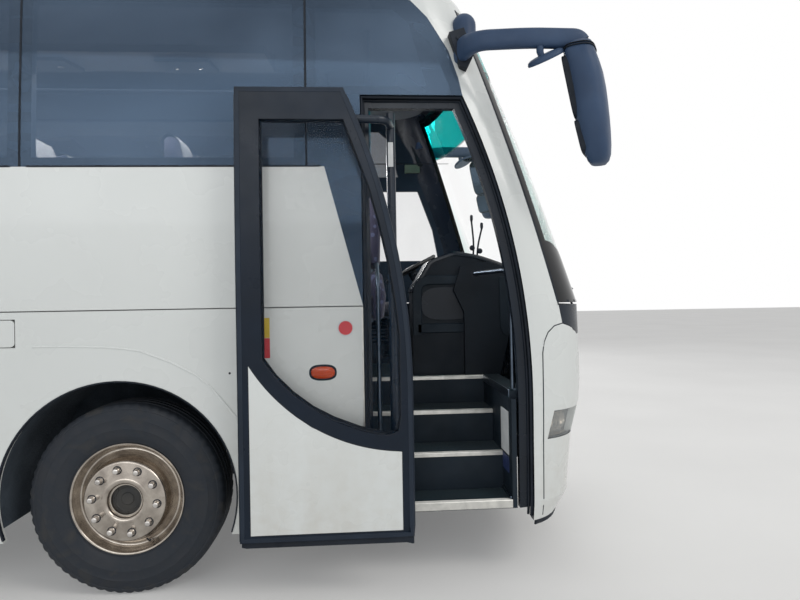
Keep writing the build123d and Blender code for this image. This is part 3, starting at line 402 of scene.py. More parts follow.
def screen_glass():
    """Windshield: clear and slightly green, with a strong green sun band along its top."""
    finish = Finish("clear_glass_finish", roughness=0.01, specular_ior_level=0.4, ior=1.45)
    x, y, z = finish.add("SeparateXYZ", {"Vector": finish.coords}).outputs
    band = finish.fit(z, 2.832, 2.848)
    corner = finish.add("MapRange", {"Value": finish.sum("ABSOLUTE", y), "From Min": 0.80, "From Max": 1.20,
                                     "To Min": 1.575, "To Max": 1.86}, interpolation_type="SMOOTHSTEP").outputs["Result"]
    low_frit = finish.sum("LESS_THAN", z, corner)
    over = finish.sum("SUBTRACT", z, 1.5)
    bow = finish.sum("MULTIPLY", over, finish.sum("SUBTRACT", 3.18, z))
    edge = finish.sum("MULTIPLY_ADD", over, -0.3119, finish.sum("MULTIPLY_ADD", bow, 0.03223, 5.790 + 0.040))
    frit = finish.sum("MAXIMUM", finish.sum("LESS_THAN", x, edge),
                      finish.sum("MAXIMUM", low_frit, finish.sum("GREATER_THAN", z, 3.135)))
    clear = finish.blend(band, paint(150, 196, 186), paint(0, 176, 172))
    finish.colour(finish.blend(frit, clear, paint(12, 15, 19)))
    smear = finish.noise(0.4, 5.0, (1, 1, 0.4), 0.5)
    haze = finish.fit(finish.sum("ABSOLUTE", finish.sum("ADD", y, -0.06)), 1.05, 1.2, 0.0, 0.55)
    thin = finish.sum("ADD", finish.fit(smear, 0.2, 0.8, 0.03, 0.05), haze)
    glass_alpha = finish.sum("MINIMUM", finish.sum("MULTIPLY_ADD", band, 0.9, thin), 0.96)
    finish.alpha(finish.sum("MAXIMUM", glass_alpha, frit))
    finish.feed(finish.shader.inputs["Transmission Weight"], finish.sum("SUBTRACT", 1.0, frit))
    finish.bump(finish.noise(0.5, 1.0), 0.0003)
    return finish.material


def tyre_rubber():
    """Worn black rubber, browner with road dust in patches, over a fine relief."""
    finish = Finish("tyre_finish")
    dust = finish.noise(0.12, 5.0, (1, 1, 1), 0.6)
    finish.colour(finish.ramp(dust, (0.3, paint(27, 31, 38)), (0.55, TYRE_INK), (0.8, paint(62, 60, 58))))
    finish.rough(dust, 0.62, 0.86)
    finish.bump(finish.noise(0.0025, 3.0), 0.0003)
    return finish.material


CLEAR_GLASS = screen_glass()
TYRE = tyre_rubber()


def plain_floor():
    finish = grained("floor_finish", paint(216, 216, 215), paint(222, 222, 221), (0.85, 0.95), 0.01, 0.0004, 2.0)
    tree = finish.tree
    shown = finish.add("Emission", {"Color": (1.0, 1.0, 1.0, 1.0), "Strength": 0.16})
    both = finish.add("AddShader")
    tree.links.new(finish.shader.outputs[0], both.inputs[0])
    tree.links.new(shown.outputs[0], both.inputs[1])
    tree.links.new(both.outputs[0], tree.nodes["Material Output"].inputs["Surface"])
    return finish.material


floor_mesh = bpy.data.meshes.new("floor")
FLOOR_REACH = 60.0
floor_mesh.from_pydata([(-FLOOR_REACH, -FLOOR_REACH, 0), (FLOOR_REACH, -FLOOR_REACH, 0),
                        (FLOOR_REACH, FLOOR_REACH, 0), (-FLOOR_REACH, FLOOR_REACH, 0)], [], [(0, 1, 2, 3)])
floor = bpy.data.objects.new("floor", floor_mesh)
floor.data.materials.append(plain_floor())
bpy.context.scene.collection.objects.link(floor)


# Finishes of the CAD nodes

BODY_MIDDLE = Vector((0.0, 0.0, 1.9))


def faces_out(place, normal):
    """Whether a face of the hollow body looks outwards."""
    return normal.dot(place - BODY_MIDDLE) > 0


def dress(names, *materials, choose=None):
    """Gives CAD nodes their finishes; choose picks one for each face from its place and normal."""
    for name in names:
        mesh = nodes[name].data
        mesh.materials.clear()
        for material in materials:
            mesh.materials.append(material)
        for face in mesh.polygons:
            face.material_index = choose(face.center, face.normal) if choose else 0


def outside_only(place, normal):
    return 0 if faces_out(place, normal) else 1


def edge_x(z, low, high):
    """X of a slanted edge between two points of x and z."""
    return low[0] + (high[0] - low[0]) * (z - low[1]) / (high[1] - low[1])


def wall_right(place, normal):
    if normal.y > -0.5:
        return 2
    skin = place.z < 2.262 and place.x < edge_x(place.z, (4.716, 1.514), (4.521, 2.26))
    return 0 if skin or place.z > 3.203 else 1


def wall_left(place, normal):
    if normal.y < 0.5:
        return 2
    skin = place.z < 2.262 and (place.z < 1.85 or place.x < edge_x(place.z, (4.76, 1.85), (4.56, 2.26)))
    return 0 if skin or place.z > 3.203 else 1


dress(["front_mask", "front_bumper", "lower_panels_left", "lower_panels_right", "rear_wall", "rear_bumper",
       "engine_lid", "fuel_flap"], WHITE, BLACK_TRIM, choose=outside_only)
dress([name for name in nodes if name.startswith("luggage_door")] + ["door_panel"], WHITE, HOLD_LINING,
      choose=lambda place, normal: 0 if normal.y * place.y > 0 and abs(normal.y) > 0.5 else 1)
dress(["roof"], WHITE, PALE_LINING, choose=lambda place, normal: 0 if faces_out(place, normal) else 1)
dress(["side_wall_right"], WHITE, BLACK_TRIM, DARK_LINING, choose=wall_right)
dress(["side_wall_left"], WHITE, BLACK_TRIM, DARK_LINING, choose=wall_left)
dress(["side_glass_left"], SIDE_GLASS, DRIVER_GLASS,
      choose=lambda place, normal: 1 if place.x > 4.74 and place.z < 2.605 else 0)
for finish, names in (
    (BLACK_TRIM, ["front_cowl", "door_surround"]),
    (CLEAR_GLASS, ["windshield"]),
    (SIDE_GLASS, ["side_glass_right", "rear_window"]),
    (DOOR_GLASS, ["door_glass"]),
    (FRAME_BLACK, ["door_frame"]),
    (LAMP_CLEAR, ["headlamps"]),
    (LAMP_RED, ["tail_lamps"]),
    (FRAME_PAINT, ["chassis_frame", "front_axle", "rear_axle", "knuckle_left", "knuckle_right"]),
    (HOUSING, ["wheel_housings"]),
    (HOLD_LINING, ["luggage_hold"]),
    (DECK, ["passenger_deck"]),
    (STEP_GREY, ["front_steps"]),
    (ENGINE_PAINT, ["engine_block"]),
    (DASH, ["dashboard"]),
    (WHEEL_PLASTIC, ["steering_wheel"]),
    (DRIVER_CLOTH, ["driver_seat"]),
    (SEAT_CLOTH, ["seat_cushions", "seat_backs"]),
    (RACK, ["luggage_racks"]),
    (ROOF_PLASTIC, ["ac_unit"]),
    (MIRROR_GREY, ["mirrors"]),
    (COLUMN_PAINT, ["door_column"]),
    (POLISHED, ["front_rim_left", "front_rim_right", "rear_rim_left", "rear_rim_right"]),
    (TYRE, ["front_tyre_left", "front_tyre_right", "rear_tyre_left", "rear_tyre_right"]),
):
    dress([name for name in names if name in nodes], finish)


# Shapes: each is a list of points and a list of faces

def merged(*shapes):
    points, faces = [], []
    for part_points, part_faces in shapes:
        start = len(points)
        points.extend(part_points)
        faces.extend(tuple(index + start for index in face) for face in part_faces)
    return points, faces


def block(low, high):
    corners = [Vector((x, y, z)) for z in (low[2], high[2]) for y in (low[1], high[1]) for x in (low[0], high[0])]
    return corners, [(0, 2, 3, 1), (4, 5, 7, 6), (0, 1, 5, 4), (2, 6, 7, 3), (0, 4, 6, 2), (1, 3, 7, 5)]


def prism(outline, run):
    """A flat outline, thickened along a direction."""
    count = len(outline)
    points = [Vector(point) for point in outline] + [Vector(point) + Vector(run) for point in outline]
    faces = [tuple(range(count)), tuple(range(2 * count - 1, count - 1, -1))]
    faces += [(i, (i + 1) % count, (i + 1) % count + count, i + count) for i in range(count)]
    return points, faces


def lathe(profile, centre, axis, steps=64, closed=True):
    """A profile of radius and distance along the axis, turned about it."""
    axis = Vector(axis).normalized()
    across = axis.orthogonal().normalized()
    up = axis.cross(across)
    count = len(profile)
    points = []
    for step in range(steps):
        angle = 2 * math.pi * step / steps
        spoke = across * math.cos(angle) + up * math.sin(angle)
        points += [Vector(centre) + axis * along + spoke * radius for radius, along in profile]
    faces = []
    for step in range(steps):
        after = (step + 1) % steps
        for row in range(count if closed else count - 1):
            beyond = (row + 1) % count
            faces.append((step * count + row, step * count + beyond, after * count + beyond, after * count + row))
    return points, faces


def tube(path, radius, sides=12):
    """A round bar along a path; radius is one value, or one for each point."""
    path = [Vector(point) for point in path]
    radii = radius if isinstance(radius, (list, tuple)) else [radius] * len(path)
    tangents = []
    for index in range(len(path)):
        before = path[max(index - 1, 0)]
        after = path[min(index + 1, len(path) - 1)]
        tangents.append((after - before).normalized())
    across = tangents[0].orthogonal().normalized()
    points = []
    for place, tangent, size in zip(path, tangents, radii):
        across = (across - tangent * across.dot(tangent)).normalized()
        up = tangent.cross(across)
        for side in range(sides):
            angle = 2 * math.pi * side / sides
            points.append(place + (across * math.cos(angle) + up * math.sin(angle)) * size)
    faces = [tuple(range(sides - 1, -1, -1)), tuple(range(len(points) - sides, len(points)))]
    for ring in range(len(path) - 1):
        for side in range(sides):
            after = (side + 1) % sides
            faces.append((ring * sides + side, ring * sides + after,
                          (ring + 1) * sides + after, (ring + 1) * sides + side))
    return points, faces


def rounded(path, radius, steps=5):
    """The same path with its corners turned into bends."""
    path = [Vector(point) for point in path]
    smooth = [path[0]]
    for before, corner, after in zip(path, path[1:], path[2:]):
        reach = min(radius, (before - corner).length * 0.45, (after - corner).length * 0.45)
        start = corner + (before - corner).normalized() * reach
        end = corner + (after - corner).normalized() * reach
        for step in range(steps + 1):
            t = step / steps
            smooth.append(start * (1 - t) ** 2 + corner * 2 * t * (1 - t) + end * t**2)
    return smooth + [path[-1]]


def dense(path, step):
    """The same path with no gap wider than a step."""
    path = [Vector(point) for point in path]
    full = [path[0]]
    for before, after in zip(path, path[1:]):
        count = max(1, math.ceil((after - before).length / step))
        full += [before.lerp(after, index / count) for index in range(1, count + 1)]
    return full


def ribbon(path, normals, width, rise, sink=0.002, loop=False):
    """A low strip that follows a path over a surface."""
    points = []
    count = len(path)
    for index, (place, normal) in enumerate(zip(path, normals)):
        before = path[index - 1] if loop or index else path[index]
        after = path[(index + 1) % count] if loop or index + 1 < count else path[index]
        across = (after - before).cross(normal).normalized() * (width / 2)
        low, high = place - normal * sink, place + normal * rise
        points += [low - across, high - across * 0.8, high + across * 0.8, low + across]
    faces = []
    for index in range(count if loop else count - 1):
        start, after = index * 4, ((index + 1) % count) * 4
        faces += [(start + side, start + (side + 1) % 4, after + (side + 1) % 4, after + side) for side in range(4)]
    if not loop:
        faces += [(3, 2, 1, 0), tuple(range(len(points) - 4, len(points)))]
    return points, faces


def moved(shape, shift):
    points, faces = shape
    return [Vector(point) + shift for point in points], faces


def mirrored(shape):
    """The same shape on the other side of the coach."""
    points, faces = shape
    return [Vector((x, -y, z)) for x, y, z in points], [tuple(reversed(face)) for face in faces]


def piece(name, shape, material, body="root", bevel=0.0, origin=None, crease=32, soften=0):
    """A new object from a shape, with its finish, riding on a body."""
    points, faces = shape
    shift = Vector(origin) if origin else Vector()
    mesh = bpy.data.meshes.new(name)
    mesh.from_pydata([Vector(point) - shift for point in points], [], faces)
    work = bmesh.new()
    work.from_mesh(mesh)
    bmesh.ops.remove_doubles(work, verts=work.verts, dist=0.00002)
    bmesh.ops.recalc_face_normals(work, faces=work.faces)
    work.to_mesh(mesh)
    work.free()
    mesh.polygons.foreach_set("use_smooth", [True] * len(mesh.polygons))
    mesh.set_sharp_from_angle(angle=math.radians(crease))
    made = bpy.data.objects.new(name, mesh)
    bpy.context.scene.collection.objects.link(made)
    made.location = shift
    mesh.materials.append(material)
    if bevel:
        edge = made.modifiers.new("edges", "BEVEL")
        edge.width = bevel
        edge.segments = 2
        edge.limit_method = "ANGLE"
    if soften:
        round_off = made.modifiers.new("soft", "SUBSURF")
        round_off.levels = round_off.render_levels = soften
    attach(made, body)
    return made


def body_surface():
    """A tree of the faces of the outer body, to lay trim on."""
    points, faces = [], []
    for name in nodes:
        if name.startswith(("front_mask", "front_bumper", "front_cowl", "windshield", "side_", "lower_", "roof",
                            "luggage_door", "headlamps", "rear_wall", "rear_bumper", "rear_window", "engine_lid", "fuel_flap")):
            mesh = nodes[name].data
            start = len(points)
            points += [vertex.co.copy() for vertex in mesh.vertices]
            faces += [tuple(index + start for index in face.vertices) for face in mesh.polygons]
    return BVHTree.FromPolygons(points, faces)


SURFACE = body_surface()
FAR = 9.0


def on_side(x, z, side):
    """The point and normal of the body's side at x and z."""
    place, normal, _, _ = SURFACE.ray_cast(Vector((x, side * FAR, z)), Vector((0, -side, 0)))
    return place, normal


def on_end(y, z, way):
    """The point and normal of the front, with way 1, or of the rear, with way -1."""
    place, normal, _, _ = SURFACE.ray_cast(Vector((way * FAR, y, z)), Vector((-way, 0, 0)))
    return place, normal


def side_strip(path, side, width, rise, step=0.05, loop=False):
    """A strip laid on the body's side along points of x and z."""
    if loop:
        path = path + [path[0]]
    hits = [on_side(point.x, point.y, side) for point in dense([(x, z, 0) for x, z in path], step)]
    hits = [hit for hit in hits if hit[0]]
    if loop:
        hits = hits[:-1]
    return ribbon([hit[0] for hit in hits], [hit[1] for hit in hits], width, rise, loop=loop)


def end_strip(path, way, width, rise, step=0.05, loop=False):
    """A strip laid on the front or rear along points of y and z."""
    if loop:
        path = path + [path[0]]
    hits = [on_end(point.x, point.y, way) for point in dense([(y, z, 0) for y, z in path], step)]
    hits = [hit for hit in hits if hit[0]]
    if loop:
        hits = hits[:-1]
    return ribbon([hit[0] for hit in hits], [hit[1] for hit in hits], width, rise, loop=loop)


# Wheels. Profiles: radius, and distance outboard of the wheel's middle

TYRE_HALF = [
    (0.2868, 0.104), (0.2868, 0.114), (0.2960, 0.1225), (0.3050, 0.1245), (0.3075, 0.1290), (0.3125, 0.1300),
    (0.3180, 0.1345), (0.3350, 0.1405), (0.3520, 0.1448), (0.3720, 0.1474), (0.3755, 0.1489), (0.3795, 0.1478),
    (0.4000, 0.1490), (0.4220, 0.1472), (0.4255, 0.1486), (0.4295, 0.1466), (0.4480, 0.1432), (0.4620, 0.1385),
    (0.4735, 0.1335), (0.4770, 0.1348), (0.4830, 0.1322), (0.4905, 0.1290), (0.4975, 0.1235), (0.5030, 0.1160),
    (0.5058, 0.1060), (0.5070, 0.0850), (0.4950, 0.0835), (0.4950, 0.0725), (0.5074, 0.0710), (0.5078, 0.0300),
    (0.4955, 0.0285), (0.4955, 0.0175), (0.5080, 0.0160),
]
TYRE_STEPS = 180
SHOULDER_ROWS = range(21, 25)
NOTCH_DEPTH = 0.006


def tyre_shape(centre, outboard):
    profile = TYRE_HALF + [(radius, -along) for radius, along in reversed(TYRE_HALF)]
    points, faces = lathe(profile, centre, outboard, TYRE_STEPS)
    last = len(profile) - 1
    for step in range(0, TYRE_STEPS, 3):
        for row in SHOULDER_ROWS:
            for index in (step * len(profile) + row, step * len(profile) + last - row):
                spoke = points[index] - centre
                spoke -= Vector(outboard) * spoke.dot(Vector(outboard))
                points[index] = points[index] - spoke.normalized() * NOTCH_DEPTH
    return points, faces


FLANGE = [(0.298, 0.116), (0.2985, 0.1245), (0.2955, 0.1285), (0.2905, 0.1285), (0.2860, 0.1255), (0.2825, 0.1180)]
FRONT_FACE = FLANGE + [
    (0.2805, 0.108), (0.2790, 0.098), (0.2760, 0.089), (0.2725, 0.0865), (0.2700, 0.0805), (0.2640, 0.0745),
    (0.2560, 0.0735), (0.2500, 0.0770), (0.2440, 0.0840), (0.2385, 0.0870), (0.2330, 0.0960), (0.2260, 0.1150),
    (0.2185, 0.1370), (0.2165, 0.1400), (0.2140, 0.1480), (0.2110, 0.1570), (0.2070, 0.1625), (0.2010, 0.1645),
    (0.1200, 0.1640), (0.1165, 0.1655), (0.1110, 0.1675), (0.1030, 0.1675), (0.0955, 0.1640), (0.0900, 0.1570),
    (0.0875, 0.1480), (0.0870, 0.1050),
]
FRONT_BACK = [
    (0.0790, 0.105), (0.0790, 0.140), (0.1980, 0.150), (0.2080, 0.140), (0.2440, 0.066), (0.2740, 0.062),
    (0.2740, -0.122), (0.2980, -0.126), (0.2980, -0.117), (0.2862, -0.115), (0.2862, 0.114),
]
REAR_FACE = FLANGE + [
    (0.2805, 0.100), (0.2790, 0.040), (0.2775, -0.100), (0.2740, -0.128), (0.2650, -0.150), (0.2500, -0.157),
    (0.1450, -0.157), (0.1400, -0.150), (0.1340, -0.090), (0.1240, -0.004), (0.1200, 0.010), (0.1120, 0.0215),
    (0.1050, 0.0280), (0.0700, 0.0290), (0.0660, 0.0330), (0.0600, 0.0330), (0.0560, 0.0290), (0.0, 0.0290),
]
REAR_BACK = [
    (0.0, -0.0600), (0.0620, -0.060), (0.0620, -0.262), (0.1100, -0.262), (0.1100, -0.187), (0.2640, -0.187),
    (0.2640, -0.438), (0.2760, -0.461), (0.2980, -0.461), (0.2980, -0.453), (0.2862, -0.451), (0.2862, -0.219),
    (0.2980, -0.217), (0.2980, -0.209), (0.2810, -0.205), (0.2810, -0.130), (0.2980, -0.126), (0.2980, -0.118),
    (0.2862, -0.115), (0.2862, 0.114),
]
HUB_CAP = [
    (0.0, 0.1060), (0.0862, 0.1060), (0.0862, 0.1175), (0.0800, 0.1215), (0.0640, 0.1220), (0.0600, 0.1180),
    (0.0340, 0.1180), (0.0300, 0.1225), (0.0, 0.1225),
]
NUT_CAP = [
    (0.0, 0.0335), (0.0095, 0.0333), (0.0128, 0.0318), (0.0148, 0.0285), (0.0156, 0.0240), (0.0162, 0.0050),
    (0.0185, 0.0030), (0.0190, 0.0), (0.0190, -0.0060), (0.0, -0.0060),
]
NUT_CIRCLE_R = 0.1675
NUTS = 10
NUT_TURN = math.radians(30)
NUT_SEAT = {"front": 0.1640, "rear": -0.157}
SEAT_RING = [(0.0185, 0.0002), (0.0232, 0.0002), (0.0238, -0.003), (0.0185, -0.003)]


def wheel(end, side):
    """One road wheel, or the twin pair at the rear: tyres, polished rim, nut caps, hub and valve."""
    name = SIDE_NAMES[side]
    body = ("front_wheel_" if end == "front" else "rear_wheels_") + name
    centre = Vector((FRONT_AXLE_X if end == "front" else REAR_AXLE_X, side * WHEEL_Y, AXLE_Z))
    outboard = Vector((0, side, 0))
    rows = [0.0] if end == "front" else [0.0, -TWIN_SPACING]
    tyres = merged(*[tyre_shape(centre + outboard * row, outboard) for row in rows])
    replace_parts(piece(end + "_tyre_tread_" + name, tyres, TYRE, body, origin=centre), end + "_tyre_" + name)
    profile = FRONT_FACE + FRONT_BACK if end == "front" else REAR_FACE + REAR_BACK
    rim = lathe(profile, centre, outboard, 128)
    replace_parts(piece(end + "_rim_polished_" + name, rim, POLISHED, body, origin=centre, crease=50),
                end + "_rim_" + name)
    seats, caps = [], []
    for number in range(NUTS):
        angle = NUT_TURN + 2 * math.pi * number / NUTS
        spoke = Vector((math.cos(angle), 0, math.sin(angle))) * NUT_CIRCLE_R
        seat = centre + spoke + outboard * NUT_SEAT[end]
        caps.append(lathe(NUT_CAP, seat, outboard, 20))
        seats.append(lathe(SEAT_RING, seat + outboard * 0.0003, outboard, 20))
    piece(end + "_nut_caps_" + name, merged(*caps), NUT_STEEL, body, crease=60)
    piece(end + "_nut_seats_" + name, merged(*seats), RUBBER, body)
    hub = []
    if end == "front":
        hub.append(lathe(HUB_CAP, centre, outboard, 48))
    ring_r, ring_along, bolt_r = (0.072, 0.1215, 0.006) if end == "front" else (0.088, 0.0285, 0.008)
    for number in range(8):
        angle = 2 * math.pi * number / 8
        spoke = Vector((math.cos(angle), 0, math.sin(angle))) * ring_r
        hub.append(lathe([(0.0, 0.006), (bolt_r, 0.005), (bolt_r, -0.004), (0.0, -0.004)],
                         centre + spoke + outboard * ring_along, outboard, 6))
    piece(end + "_hub_cap_" + name, merged(*hub), FRAME_PAINT, body, crease=30)
    valve_foot = centre + Vector((0.105, 0, -0.235)) + outboard * (0.085 if end == "front" else -0.14)
    valve = tube(rounded([valve_foot, valve_foot + outboard * 0.02, valve_foot + outboard * 0.035
                          + Vector((-0.01, 0, 0.022))], 0.01), [0.0042] * 7 + [0.0034], 8)
    piece(end + "_valve_" + name, valve, RUBBER, body)


for side in (LEFT, RIGHT):
    wheel("front", side)
    wheel("rear", side)


# Doorway: steps, platform edge, handrails, seals

STEP_REAR_X, STEP_FRONT_X = 4.731, 5.519
# Columns: outer edge y, inner edge y, tread z
TREADS = [(-1.228, -1.015, 0.430), (-1.015, -0.755, 0.645), (-0.755, -0.495, 0.843), (-0.495, -0.470, 1.024)]
NOSING_DEEP, CARPET = 0.034, 0.006


def nosing(outer_y, z, front_x, tall):
    """A ribbed aluminium angle over a tread's outer edge."""
    top, face = z + 0.0035, outer_y - 0.004
    outline = [(outer_y + NOSING_DEEP, z), (outer_y + NOSING_DEEP, top)]
    for rib in range(4):
        y = outer_y + NOSING_DEEP - 0.006 - rib * 0.0068
        outline += [(y, top), (y - 0.0012, top - 0.0012), (y - 0.0036, top - 0.0012), (y - 0.0048, top)]
    outline += [(face + 0.003, top), (face, top - 0.004), (face, z - tall), (face + 0.0025, z - tall),
                (outer_y, z - tall + 0.004), (outer_y, z)]
    return prism([(STEP_REAR_X, y, height) for y, height in outline], (front_x - STEP_REAR_X, 0, 0))


mats, risers, edges = [], [], []
for number, (outer_y, inner_y, z) in enumerate(TREADS):
    last = number + 1 == len(TREADS)
    tall = 0.040 if number == 0 else 0.019
    edges.append(nosing(outer_y, z, STEP_FRONT_X, tall))
    if last:
        mats.append(block((STEP_REAR_X, outer_y + NOSING_DEEP, z), (STEP_FRONT_X, 0.34, z + CARPET)))
        mats.append(block((STEP_FRONT_X, -1.175, z), (5.626, -0.472, z + CARPET)))
    else:
        next_z = TREADS[number + 1][2]
        mats.append(block((STEP_REAR_X, outer_y + NOSING_DEEP, z), (STEP_FRONT_X, inner_y - 0.004, z + CARPET)))
        risers.append(block((STEP_REAR_X, inner_y - 0.004, z + CARPET),
                            (STEP_FRONT_X, inner_y - 0.0005, next_z - 0.020)))
piece("step_carpet", merged(*mats), DECK, bevel=0.002)
piece("step_nosings", merged(*edges), ALUMINIUM, crease=20)
piece("step_risers", merged(*risers), STEP_GREY, bevel=0.001)
piece("step_side_trim", merged(
    block((STEP_FRONT_X - 0.012, -1.222, 0.437), (STEP_FRONT_X - 0.002, -1.016, 0.449)),
    block((STEP_FRONT_X - 0.004, -1.180, 0.986), (STEP_FRONT_X + 0.004, -0.500, 1.0305)),
    block((5.5460, -1.1775, 1.0240), (5.6260, -1.1690, 1.0345)),
), SATIN_STEEL, bevel=0.0015)
piece("blank_notice", block((STEP_FRONT_X - 0.0025, -1.165, 0.660), (STEP_FRONT_X - 0.0005, -0.985, 0.905)),
      PAPER,
      bevel=0.0005)
piece("blank_notice_blue", block((STEP_FRONT_X - 0.0030, -1.165, 0.560), (STEP_FRONT_X - 0.0005, -1.000, 0.648)),
      CARD_BLUE,
      bevel=0.0005)

# Handrails in the doorway
RAIL_R = 0.0125
front_rail = rounded([(5.430, -0.700, 1.700), (5.545, -1.120, 1.700), (5.548, -1.150, 1.640), (5.548, -1.150, 1.000),
                      (5.560, -1.150, 0.915), (5.585, -1.168, 0.900)], 0.07)
rear_rail = rounded([(4.745, -1.140, 0.720), (4.800, -1.120, 0.760), (4.800, -1.120, 1.650), (4.800, -0.560, 1.950),
                     (4.745, -0.520, 1.960)], 0.06)
piece("doorway_handrails", merged(tube(front_rail, RAIL_R, 14), tube(rear_rail, RAIL_R, 14)), SATIN_STEEL)
feet = []
for place, way in ((front_rail[0], (0.35, 0.9, 0)), (front_rail[-1], (1, -0.4, 0)), (rear_rail[0], (-1, -0.2, 0)),
                   (rear_rail[-1], (-1, 0, 0))):
    feet.append(lathe([(0.0, -0.002), (0.026, -0.002), (0.026, 0.004), (0.016, 0.010), (0.0, 0.010)], place, way, 20))
piece("handrail_feet", merged(*feet), RUBBER)

# Entrance door: the leaf stands open, moved back and outward from its closed place
OPEN_X, OPEN_Y = -0.6439, -0.150
LEAF_REAR_X, LEAF_FRONT_X = 4.723 + OPEN_X, 5.603 + OPEN_X
LEAF_LOW_Z, LEAF_TOP_Z = 0.330, 2.635
LEAF_CURVE_Z, LEAF_CURVE_R = 1.080, 3.814
LEAF_THICK = 0.038


def lean(z):
    """How far the body's side stands in from its widest at a height."""
    return 0.0249 * max(z - 1.514, 0.0) ** 2


def bowed_x(z, straight_x, curve_z, curve_r):
    return straight_x - curve_r + math.sqrt(curve_r**2 - max(z - curve_z, 0.0) ** 2)


def leaf_front(z):
    return bowed_x(z, LEAF_FRONT_X, LEAF_CURVE_Z, LEAF_CURVE_R)


def leaf_y(z, depth=0.0):
    """A place in the leaf's thickness; depth 0 is its outer face."""
    return OPEN_Y - SIDE_Y + lean(z) + depth


def leaf_loop(inset, depth):
    """Points round the leaf's outline, brought in from its edge."""
    low, top = LEAF_LOW_Z + inset, LEAF_TOP_Z - inset
    heights = [low + (top - low) * step / 24 for step in range(25)]
    path = [(LEAF_REAR_X + inset, leaf_y(z, depth), z) for z in heights]
    path += [(leaf_front(z) - inset, leaf_y(z, depth), z) for z in reversed(heights)]
    return dense([Vector(point) for point in path + path[:1]], 0.08)


edge_seal = tube(leaf_loop(0.006, LEAF_THICK / 2), 0.0120, 10)
band_path = leaf_loop(0.014, 0.0)[:-1]
edge_band = ribbon(band_path, [Vector((0, -1, 0))] * len(band_path), 0.026, 0.0022, loop=True)
inner_path = leaf_loop(0.012, LEAF_THICK)[:-1]
inner_band = ribbon(inner_path, [Vector((0, 1, 0))] * len(inner_path), 0.020, 0.0022, loop=True)
piece("door_edge_seal", merged(edge_seal, edge_band, inner_band), SEAL, "entrance_door")
flap = [(LEAF_REAR_X + 0.006, 0.336), (LEAF_REAR_X + 0.006, 0.304), (LEAF_REAR_X + 0.03, 0.299),
        (LEAF_FRONT_X - 0.04, 0.297), (LEAF_FRONT_X - 0.012, 0.290), (LEAF_FRONT_X - 0.002, 0.290),
        (LEAF_FRONT_X - 0.002, 0.336)]
piece("door_bottom_flap", merged(
    prism([(x, leaf_y(z, 0.014), z) for x, z in flap], (0, 0.009, 0)),
    prism([(x, leaf_y(0.0, 0.010), z) for x, z in ((LEAF_REAR_X + 0.02, 0.345), (LEAF_REAR_X + 0.02, 0.322),
                                                  (LEAF_FRONT_X - 0.02, 0.322), (LEAF_FRONT_X - 0.02, 0.345))],
          (0, 0.017, 0)),
), RUBBER, "entrance_door", bevel=0.0015)

# The white panel's and the pane's joints in the leaf. Lines: x and z in the closed place
PANEL_LINE = [(4.776, 1.222), (4.850, 1.123), (4.930, 1.034), (5.010, 0.962), (5.089, 0.906), (5.200, 0.851),
              (5.310, 0.812), (5.430, 0.783), (5.546, 0.767), (5.546, 0.365), (4.776, 0.365)]
PANE_LINE = [(4.844, 1.251), (4.905, 1.163), (4.990, 1.076), (5.091, 0.998), (5.200, 0.939), (5.330, 0.888),
             (5.474, 0.850), (5.530, 0.870), (5.544, 0.940), (5.544, 1.361), (5.522, 1.560), (5.492, 1.750),
             (5.450, 1.942), (5.397, 2.132), (5.273, 2.470), (4.844, 2.470)]


def leaf_line(line, width, rise, depth=0.0, way=-1):
    path = dense([Vector((x + OPEN_X, leaf_y(z, depth), z)) for x, z in line + line[:1]], 0.06)[:-1]
    return ribbon(path, [Vector((0, way, 0))] * len(path), width, rise, loop=True)


piece("door_panel_joint", merged(leaf_line(PANEL_LINE, 0.0045, 0.0005), leaf_line(PANE_LINE, 0.0050, 0.0006)),
      RUBBER, "entrance_door")
piece("door_pane_gasket", leaf_line(PANE_LINE, 0.022, 0.004, LEAF_THICK, 1), RUBBER, "entrance_door")
grip = rounded([(4.170, leaf_y(1.45, LEAF_THICK - 0.001), 1.500), (4.170, leaf_y(1.45, LEAF_THICK + 0.045), 1.500),
                (4.170, leaf_y(1.10, LEAF_THICK + 0.045), 1.130), (4.170, leaf_y(1.10, LEAF_THICK - 0.001), 1.130)], 0.03)
piece("door_inside_grip", tube(grip, 0.011, 12), SATIN_STEEL, "entrance_door")
stops = [lathe([(0.0, 0.0), (0.020, 0.0), (0.020, 0.002), (0.014, 0.004), (0.0, 0.004)],
               (x, leaf_y(z, LEAF_THICK), z), (0, 1, 0), 18) for x, z in ((4.130, 0.420), (4.900, 0.420), (4.150, 2.560))]
piece("door_stop_buffers", merged(*stops), RUBBER, "entrance_door")

# Frame of the doorway
MASK_CURVE_Z, MASK_CURVE_R = 0.987, 4.070
MASK_FRONT_X, DOORWAY_REAR_X, DOORWAY_TOP_Z = 5.630, 4.715, 2.650


def jamb_loop(inset, depth):
    """Points up the front edge of the doorway, along its top and down its rear edge."""
    path = []
    for step in range(30):
        z = 0.345 + (DOORWAY_TOP_Z - inset - 0.345) * step / 29
        x = bowed_x(z, MASK_FRONT_X, MASK_CURVE_Z, MASK_CURVE_R)
        skin, _ = on_side(x + 0.006, z, RIGHT)
        path.append(Vector((x - inset, (skin.y if skin else -SIDE_Y) + depth, z)))
    for z in (DOORWAY_TOP_Z - inset, 2.4, 2.1, 1.8, 1.514, 1.1, 0.7, 0.400):
        path.append(Vector((DOORWAY_REAR_X + inset, -SIDE_Y + lean(z) + depth, z)))
    return dense(path, 0.06)


